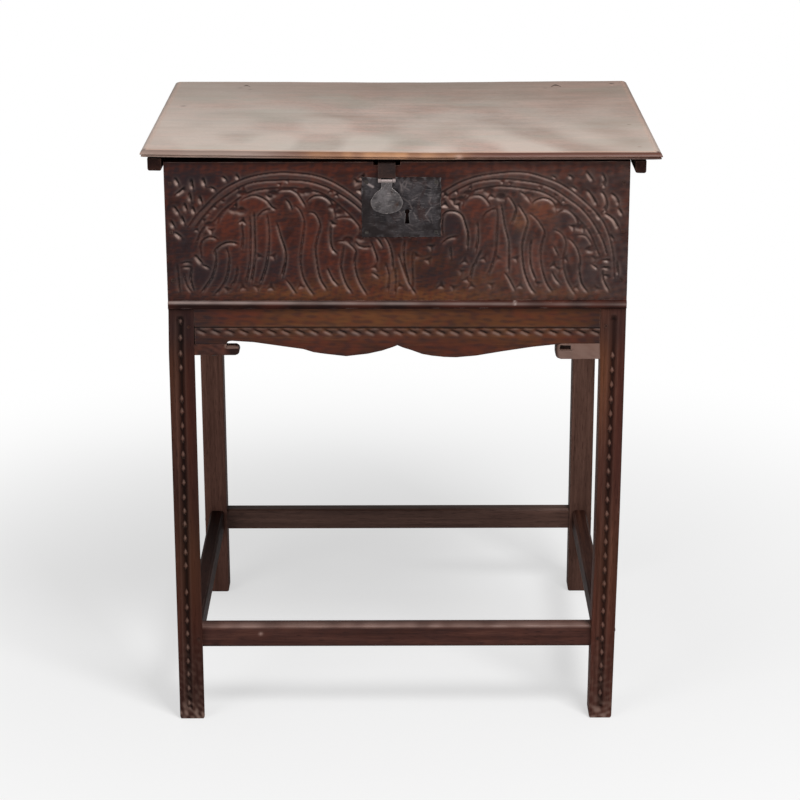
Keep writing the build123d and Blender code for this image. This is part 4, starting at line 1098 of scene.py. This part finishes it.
# %% Front legs
leg_side, stand_top = 36, 633
left_pips = [614, 589, 566, 545, 499, 480, 458, 439, 415, 394, 372, 349, 328, 308, 286, 264, 243, 201,
    177, 156, 135, 113, 91, 70, 47, 23]
right_pips = [562 - 21.8 * step for step in range(25)]
leg_cells, arris_radius, channel_depth = (28, 420), 1.6, 3.4
for name, low_x, pips, scribe, seed, top_off, foot_off, warmth in (
    ("front_left_leg", -326, left_pips, -320, 5, 16.5, 13.5, 0.15),
    ("front_right_leg", 278, right_pips, 284, 9, 18.8, 15.5, 0.5),
):
    high_x, back_y = low_x + leg_side, front_y + leg_side
    leg = face_grid(
        "channelled_" + name[6:], (low_x + arris_radius, front_y, arris_radius),
        (high_x - arris_radius, front_y, stand_top - arris_radius), leg_cells,
    )
    points = points_of(leg)
    u, v = points[:, 0], points[:, 2]
    channel_x = low_x + top_off + (foot_off - top_off) * (1 - v / stand_top)
    off_line = np.abs(u - channel_x)
    ends = np.clip(np.minimum(v - 10, 624 - v) / 8, 0, 1)
    channel = np.clip(1.15 - off_line / 5.6, 0, 1) * ends
    depth = channel_depth * channel
    shade = np.clip(1.6 - off_line / 4.2, 0, 1) * ends * np.clip(1 - (v - pips[0]) / 60, 0.45, 1)
    for pip_z in pips:
        pip = 1 - off_line / 3.9 - np.abs(v - pip_z) / 6.5
        shade = np.where(pip > 0.12, 0, shade)
        depth = np.minimum(depth, np.where(pip > 0, channel_depth - 3.0 * np.clip(pip * 1.6, 0, 1), 9))
    cut_line(depth, u, v, [(scribe, 30), (scribe + 1, 330), (scribe, 610)], 1.5, 0.8, 0.5)
    points[:, 1] += depth + np.abs(ripple(u, v, seed, (60, 140), 0.3))
    set_points(leg, points)
    # Painted highlight on slopes turned to the light, and painted shade on those turned away.
    mark_relief(leg, as_table(depth, leg_cells), 0.8, 1.3, bright=-0.35)
    scuffs = mottle(u, v, seed + 2, 16)
    add_mark(leg, "rim", np.clip(1.1 - v / 26, 0, 0.7) * scuffs + 0.3 * ramp(v, 160, 0) * scuffs**2)
    # Painted shade down the channel, left off the pips.
    add_mark(leg, "hollow", 0.5 * shade)
    tint(leg, "warm", [(low_x + 4, 540, 14, 90, warmth), (low_x + 30, 250, 30, 90, 0.25)])
    tint(leg, "soot", [(low_x + 18, 606, 40, 34, 0.6), (low_x + 34, 400, 8, 260, 0.3)])
    tint(leg, "red", [(low_x + 26, 470, 16, 120, 0.4), (low_x + 14, 150, 30, 90, 0.3)])
    rounded_back(leg, (low_x, front_y, 0), (high_x, back_y, stand_top), arris_radius)
    points = points_of(leg)
    x, y, z = points.T.copy()
    side = (x - low_x - leg_side / 2) / (leg_side / 2)
    foot = 2.6 * (1 - np.sqrt(1 - ramp(z, 5, 0) ** 2))
    if name == "front_left_leg":
        slim = ramp(side, 0.1, 1) * ramp(z, 580, 560) * (4.4 * ramp(y, front_y, back_y) - 0.6)
        lean = 1.8 * (1 - z / stand_top) + 1.2 * ramp(z, 630, 570)
    else:
        slim = -1.8 * ramp(-side, 0.45, 1) * ramp(z, 575, 545) * ramp(z, 150, 250)
        slim += 2.6 * ramp(z, 330, 0) * ramp(side, 0, 1)
        lean = 2.1 * ramp(z, stand_top, 0) ** 1.5
    points[:, 0] = x - side * foot - lean - slim
    set_points(leg, points)
    finish_piece(leg, "stand", oak[name[6:]], name)

# %% [markdown]
# ## The bottom board
# The box's bottom is a thin board whose front edge shows as a rounded nosing between
# the carved front and the stand. The top of that nosing carries a painted highlight, a pale line strongest
# at the left, and painted shadow lies under its nose.

# %% Bottom board
low, high = extent("bottom_board")
radius = 3.6
nose_low, nose_high = (low[0] + 1, low[1], low[2] + radius), (high[0] - 1, low[1], high[2] - radius)
bottom = face_grid("nosed_bottom", nose_low, nose_high, (256, 6))
points = points_of(bottom)
points[:, 1] += np.abs(ripple(points[:, 0], points[:, 2], 41, (70, 40), 0.35))
set_points(bottom, points)
low_corner, high_corner = (nose_low[0] - radius, *low[1:]), (nose_high[0] + radius, *high[1:])
rounded_back(bottom, low_corner, high_corner, radius)
points = points_of(bottom)
points[:, 0] = np.clip(points[:, 0], low[0], high[0])
set_points(bottom, points)
x, y, z = points.T
# A painted highlight along the top of the nosing, strongest at the left, and painted shadow under its nose.
pale_line = 643.6 - 3.8 * (x - box_left) / 640
pale = np.exp(-(((z - pale_line) / 1.9) ** 2)) * (y < -225) * np.clip(0.72 - (x + 250) / 1200, 0.32, 0.72)
fleck = 0.6 * np.exp(-(((x - 158) / 1.6) ** 2)) * (z > 639) * (y < -240)
set_marks(
    bottom,
    rim=pale * (0.55 + 0.45 * mottle(x, y * 0, 43, 60)) + fleck,
    hollow=np.clip((pale_line - 3.4 - z) / 2.5, 0, 0.55) * (y < -235),
    red=0.6 * mottle(x, y * 0, 47, 90),
)
finish_piece(bottom, "box", oak["nosing"], "bottom_board")

# %% [markdown]
# ## The apron
# The frieze rail under the box has a double-lobed lower edge, a scribed line and a
# row of slanting gouge cuts under it. The grid's columns are stretched to the lower
# edge, so that its outline is followed exactly.

# %% Apron
apron_edge = [(-290, 581), (-248, 581), (-243, 585.5), (-238, 586), (-208, 584), (-168, 578),
    (-138, 573.5), (-124, 569), (-108, 566.5), (-78, 563), (-48, 566.5), (-28, 571), (-12, 576.5),
    (-6, 579), (2, 575.5), (13, 572), (29, 566), (42, 563.5), (60, 561.5), (77, 561), (105, 563.5),
    (140, 569.5), (182, 576), (214, 579.5), (240, 581), (278, 581)]
apron_left, apron_right, apron_y, apron_foot, apron_cells = -290, 278, -245, 560, (380, 54)
apron = face_grid(
    "gouged_apron", (apron_left, apron_y, apron_foot), (apron_right, apron_y, stand_top), apron_cells
)
points = points_of(apron)
u = points[:, 0]
lower = np.interp(u, *zip(*apron_edge))
points[:, 2] = stand_top - (stand_top - points[:, 2]) * (stand_top - lower) / (stand_top - apron_foot)
v = points[:, 2]
depth = np.zeros(u.shape)
cut_line(depth, u, v, [(-292, 605.5), (-6, 604.5), (280, 603.5)], 2.2, 1.6, 2.0, taper=1)
fall = 0.0035
for x in (-280 + 19.7 * step for step in range(29)):
    z = 600 - fall * (x + 280)
    cut_line(depth, u, v, [(x - 7, z + 3), (x + 7, z - 3)], 5.0, 2.2, 3.0, taper=4)
table = soften(as_table(depth, apron_cells))
points[:, 1] += table.ravel() + 0.8 * ramp(v - lower, 1.5, 0) + np.abs(ripple(u, v, 7, (120, 50), 0.2))
set_points(apron, points)
# Painted highlight on gouge slopes turned to the light, and painted shade on those turned away.
mark_relief(apron, table, 1.0, 1.4, bright=0.25)
# The hollow mark also darkens a flat band beside the gouges and the scribed line.
flat_band = np.clip(1 - table.ravel() / 0.6, 0, 1) * np.exp(-(((v - 600.5) / 4.5) ** 4))
scribed = np.exp(-(((v - 605.5 + fall * (u + 292)) / 1.1) ** 2))
add_mark(apron, "hollow", 0.5 * flat_band + 0.8 * scribed)
tint(apron, "warm", [(-60, 618, 190, 26, 0.8), (170, 610, 140, 34, 0.7)])
tint(apron, "red", [
    (-235, 622, 40, 14, 0.8), (-120, 575, 60, 12, 0.7), (90, 575, 60, 12, 0.7),
    (230, 590, 40, 12, 0.5), (-20, 590, 60, 10, 0.6), (190, 620, 50, 8, 0.5),
])
add_mark(apron, "red", 0.5 * mottle(u, v * 2.4, 73, 46) ** 2)
tint(apron, "soot", [(-285, 610, 34, 34, 0.65), (272, 600, 26, 40, 0.4), (-60, 598, 40, 6, 0.4)])
add_mark(apron, "soot", 0.55 * mottle(u, v * 2.6, 71, 34) ** 2)
extrude_back(apron, apron_y + 22)
finish_piece(apron, "stand", oak["apron"], "front_apron")

# %% [markdown]
# ## The spurs
# Under each end of the apron sits a small bracket. The left one ends in a rounded
# nub under an open slot. The right one ends in a hook, with a blind slot gouged into
# it. Both are blocks with slots cut out. Their faces are cut up first, so that the
# points near the free end can move in to round it.


# %% Spurs
def punch(piece, cutter):
    """Cut one solid out of a piece, and throw the cutter away."""
    bpy.ops.object.select_all(action="DESELECT")
    piece.select_set(True)
    bpy.context.view_layer.objects.active = piece
    hole = piece.modifiers.new("hole", "BOOLEAN")
    hole.operation = "DIFFERENCE"
    hole.solver = "EXACT"
    hole.object = cutter
    bpy.ops.object.modifier_apply(modifier=hole.name)
    bpy.data.objects.remove(cutter)


def slotted_block(name, low, high, slot_low, slot_high, end_x, end_top, radius):
    """A block with a slot, whose free end is rounded from its foot up to a height."""
    piece = block(name, low, high)
    edit(piece)
    bpy.ops.mesh.select_all(action="SELECT")
    bpy.ops.mesh.subdivide(number_cuts=11)
    done_editing()
    punch(piece, block("slot", slot_low, slot_high))
    points = points_of(piece)
    x, y, z = points.T.copy()
    room = ramp(np.minimum(z - low[2], end_top - z), radius, 0)
    pull = radius * (1 - np.sqrt(1 - room**2)) * ramp(np.abs(x - end_x), 2 * radius, 0)
    points[:, 0] += math.copysign(1, end_x) * pull
    set_points(piece, points)
    edit(piece, "EDGE")
    bpy.ops.mesh.edges_select_sharp(sharpness=math.radians(50))
    bpy.ops.mesh.bevel(offset=0.7 * MM, segments=2, profile=0.5, affect="EDGES")
    done_editing()
    return piece


nub = slotted_block(
    "nub_spur", (-295.5, -245, 565), (-228, -227, 581), (-246, -250, 577.4), (-220, -220, 590),
    end_x=-228, end_top=577.4, radius=6.2,
)
x, y, z = points_of(nub).T
patches = mottle(x, z, 61, 14)
# The nub's top carries a painted highlight, and its end below the top is darker.
set_marks(
    nub,
    hollow=np.clip((x + 248) / 8, 0, 0.75) * ramp(z, 576, 573),
    rim=0.12 * patches * (x < -250) + 1.0 * (z > 575.5) * (x > -247),
    red=0.8 * patches,
    soot=0.5 * mottle(x, z, 63, 20),
)
finish_piece(nub, "stand", oak["apron"], "left_spur")
hook = slotted_block(
    "hook_spur", (216, -245, 558.2), (280, -227, 581), (222, -250, 571.8), (237.5, -240, 578.2),
    end_x=216, end_top=581, radius=8.5,
)
x, y, z = points_of(hook).T
inside = (x > 221) & (x < 238) & (y > -243) & (z > 571) & (z < 579)
# The hook's face carries a painted highlight, with painted shade in its slot and on its rounded left end.
set_marks(
    hook,
    hollow=0.5 * inside + 0.8 * ramp(x, 221, 218),
    rim=(0.8 + 0.2 * mottle(x, z, 61, 14)) * (1 - inside) * ramp(x, 217, 221),
    red=0.6 * (x > 238),
)
finish_piece(hook, "stand", oak["apron"], "right_spur")

# %% [markdown]
# ## The front stretcher
# Feet have rested on this rail. Its upper front arris is worn to a soft round that carries a painted
# highlight along its whole length, and its face has a small bruise where the wood is bare. Painted shade
# lies along its foot and on the back of its top.

# %% Front stretcher
low, high = extent("front_stretcher")
left_end, right_end, radius = -296, 279, 3.8
rail = face_grid(
    "worn_stretcher", (left_end + radius, low[1], low[2] + radius),
    (right_end - radius, low[1], high[2] - radius), (256, 14),
)
rounded_back(rail, (left_end, low[1], low[2]), (right_end, high[1], high[2]), radius)
points = points_of(rail)
x, y, z = points.T
margin = radius + 0.1
points[:, 0] = np.where(x < left_end + margin, left_end, np.where(x > right_end - margin, right_end, x))
points[:, 2] -= np.abs(ripple(x, y, 53, (140, 60), 0.6)) * (z > 140) * (y < -222)
bruise = spot(x, z, (-207.5, 133), (2.6, 2.4)) * (y < -236)
points[:, 1] += 1.0 * bruise
set_points(rail, points)
# Painted highlight along the rounded top arris. Painted shade along the foot of the rail, in the corner by
# the left leg, and on the back of the top.
pale = ramp(z, 141.2, 143.8) * ramp(y, -219, -224)
under = np.clip((114.5 - z) / 2, 0, 0.6) + 0.6 * spot(x, z, (-273, 117), (6, 4))
set_marks(
    rail,
    rim=pale * (0.4 + 0.4 * mottle(x, y, 55, 50)) + bruise,
    hollow=under + np.clip((y + 219) / 3, 0, 0.7) * (z > 140),
    soot=0.25 * mottle(x, z * 3, 57, 70),
)
finish_piece(rail, "stand", oak["stretcher"], "front_stretcher")

# %% [markdown]
# ## The lock plate
# The plate is thin hand-beaten iron: its outline isn't quite straight, its face is
# dented and a little wavy, and its edges bend back to the wood. The keyhole and the
# staple's opening are cut with a Boolean, which keeps their edges crisp.

# %% Lock plate
plate_y, plate_middle, half_width, half_height = -246.6, 779, 55, 42.5
plate_low = (-half_width, plate_y, plate_middle - half_height)
plate_high = (half_width, plate_y, plate_middle + half_height)
plate = face_grid("beaten_lock_plate", plate_low, plate_high, (110, 86))
points = points_of(plate)
u, v = points[:, 0].copy(), points[:, 2] - plate_middle
points[:, 0] = u * (1 - np.abs(np.sin(v * 0.11 + 0.6) + 0.6 * np.sin(v * 0.31)) * 0.010)
points[:, 2] = plate_middle + v * (1 - np.abs(np.sin(u * 0.07 + 1.1) + 0.5 * np.sin(u * 0.23)) * 0.012)
u = points[:, 0]
chance = np.random.default_rng(17)
dents = np.zeros(u.shape)
for _ in range(150):
    place = chance.uniform((-54, -42), (54, 42))
    reach = chance.uniform(2.2, 7)
    away = ((u - place[0]) ** 2 + (v - place[1]) ** 2) / reach**2
    dents = np.maximum(dents, chance.uniform(0.15, 0.42) * np.exp(-away * 1.6))
border = np.minimum(half_width - np.abs(u), half_height - np.abs(v))
points[:, 1] += dents + 0.35 * ramp(border, 1.6, 0)
points[:, 1] += 0.1 * np.sin(u * 0.9 + v * 0.7) * np.sin(v * 1.1 - u * 0.4)
set_points(plate, points)
extrude_back(plate, -245.4)
bpy.ops.mesh.primitive_cylinder_add(
    vertices=24, radius=3.4 * MM, depth=8 * MM, location=Vector((8, -246, 773)) * MM,
    rotation=(quarter, 0, 0),
)
punch(plate, bpy.context.object)
bpy.ops.mesh.primitive_cone_add(
    vertices=4, radius1=4.6 * MM, radius2=2.6 * MM, depth=16.5 * MM, location=Vector((8, -246, 763.8)) * MM,
    rotation=(0, 0, math.radians(45)),
)
punch(plate, bpy.context.object)
punch(plate, block("staple_opening", (-21.7, -250, 774.5), (-18.3, -242, 783.9)))
print("plate punched:", len(plate.data.polygons), "faces")

# %% Scratches, grime and a painted shadow on the plate
x, y, z = points_of(plate).T
scored = np.zeros(len(x))
for _ in range(34):
    start = chance.uniform((-5, 742), (53, 818))
    angle, length = chance.uniform(0, 3.14), chance.uniform(4, 15)
    end = (start[0] + length * math.cos(angle), start[1] + length * math.sin(angle))
    distance = distance_to_line(x, z, [tuple(start), end])[0]
    scored = np.maximum(scored, chance.uniform(0.08, 0.38) * ramp(distance, 1.2, 0))
dash = distance_to_line(x, z, [(-49, 814), (-39, 808)])[0]
# A painted shadow of the hasp's bulb down the plate's left edge, below its top corner.
low_left = np.exp(-(((x + 49) / 7) ** 4)) * ramp(z, 800, 788)
below = np.clip((762 - z) / 22, 0, 0.5) + np.clip((-x - 10) / 60, 0, 0.4) * (z < 790)
border = np.minimum(half_width - np.abs(x), half_height - np.abs(z - plate_middle))
ragged = 0.95 * np.clip(1.3 - border / 7, 0, 1) * np.clip(2.2 * mottle(x, z, 69, 15) - 0.45, 0, 1)
grime = np.maximum(0.85 * low_left, below * (0.5 + mottle(x, z, 67, 18)))
scored = np.maximum(scored, np.clip(1.2 - dash / 1.9, 0, 1))
set_marks(plate, polish=scored, grime=np.maximum(grime, ragged))
finish_piece(plate, "box", iron["plate"], "lock_plate", angle=40)

# %% [markdown]
# ## The hasp
# A flat pear-shaped leaf hangs from the strap over the plate. Its columns are spaced
# across a half width that swells from neck to bulb, and its face is beaten to a low
# dome. It is modelled upright and then leaned out, about its pin, to where it hangs.

# %% Hasp leaf
pin_x, pin_y, pin_z = -20, -249.4, 817
leaf_y = pin_y - 1
leaf = face_grid("beaten_hasp", (pin_x - 1, leaf_y, pin_z - 45), (pin_x + 1, leaf_y, pin_z), (34, 44))
points = points_of(leaf)
side = points[:, 0] - pin_x
fall = pin_z - points[:, 2]
# Each step of the outline is a fall below the pin and a half width.
bulb = [(0, 7.5), (4, 7.2), (8, 7.4), (11, 8.8), (14, 12), (18, 16.6), (22, 19.6), (27, 21.6), (31, 22),
    (35, 21.2), (39, 18.2), (42, 14.0), (43.8, 9.0), (45, 4.5)]
half = np.interp(fall, *zip(*bulb))
points[:, 0] = x = pin_x + side * half + 0.35 * np.sin(fall * 0.5) * side
dome = 0.9 * np.clip(1 - side**2, 0, 1) * np.clip(fall / 20, 0.2, 1)
beaten = 0.22 * np.sin(x * 0.9 + 1) * np.sin(fall * 0.75) + 0.12 * np.sin(x * 2.1 + fall)
curl = 0.5 * np.clip(np.abs(side) - 0.9, 0, 1) * 5
points[:, 1] += -dome * 0.7 + beaten * np.clip(1.3 - np.abs(side), 0, 1) + curl
set_points(leaf, points)
extrude_back(leaf, pin_y + 1)
bpy.ops.mesh.primitive_cylinder_add(
    vertices=28, radius=2.5 * MM, depth=15 * MM, location=Vector((pin_x, pin_y, pin_z)) * MM,
    rotation=(0, quarter, 0),
)
knuckle = bpy.context.object
apply_place()
edit(knuckle, "EDGE")
mesh = bmesh.from_edit_mesh(knuckle.data)
for face in mesh.faces:
    face.select_set(abs(face.normal.x) > 0.9)
bmesh.update_edit_mesh(knuckle.data)
bpy.ops.mesh.inset(thickness=0.5 * MM, depth=0.25 * MM)
done_editing()
# The knuckle is painted bright all over: a painted highlight.
set_marks(knuckle, polish=np.ones(len(knuckle.data.vertices)))
set_marks(leaf, polish=np.zeros(len(leaf.data.vertices)))
leaf.select_set(True)
bpy.context.view_layer.objects.active = leaf
bpy.ops.object.join()
points = points_of(leaf)
lean = math.radians(9.5)
back, up = points[:, 1] - pin_y, points[:, 2] - pin_z
points[:, 1] = pin_y + back * math.cos(lean) + up * math.sin(lean)
points[:, 2] = pin_z - back * math.sin(lean) + up * math.cos(lean)
set_points(leaf, points)
finish_piece(leaf, "hasp", iron["hasp"], "hasp", angle=40)
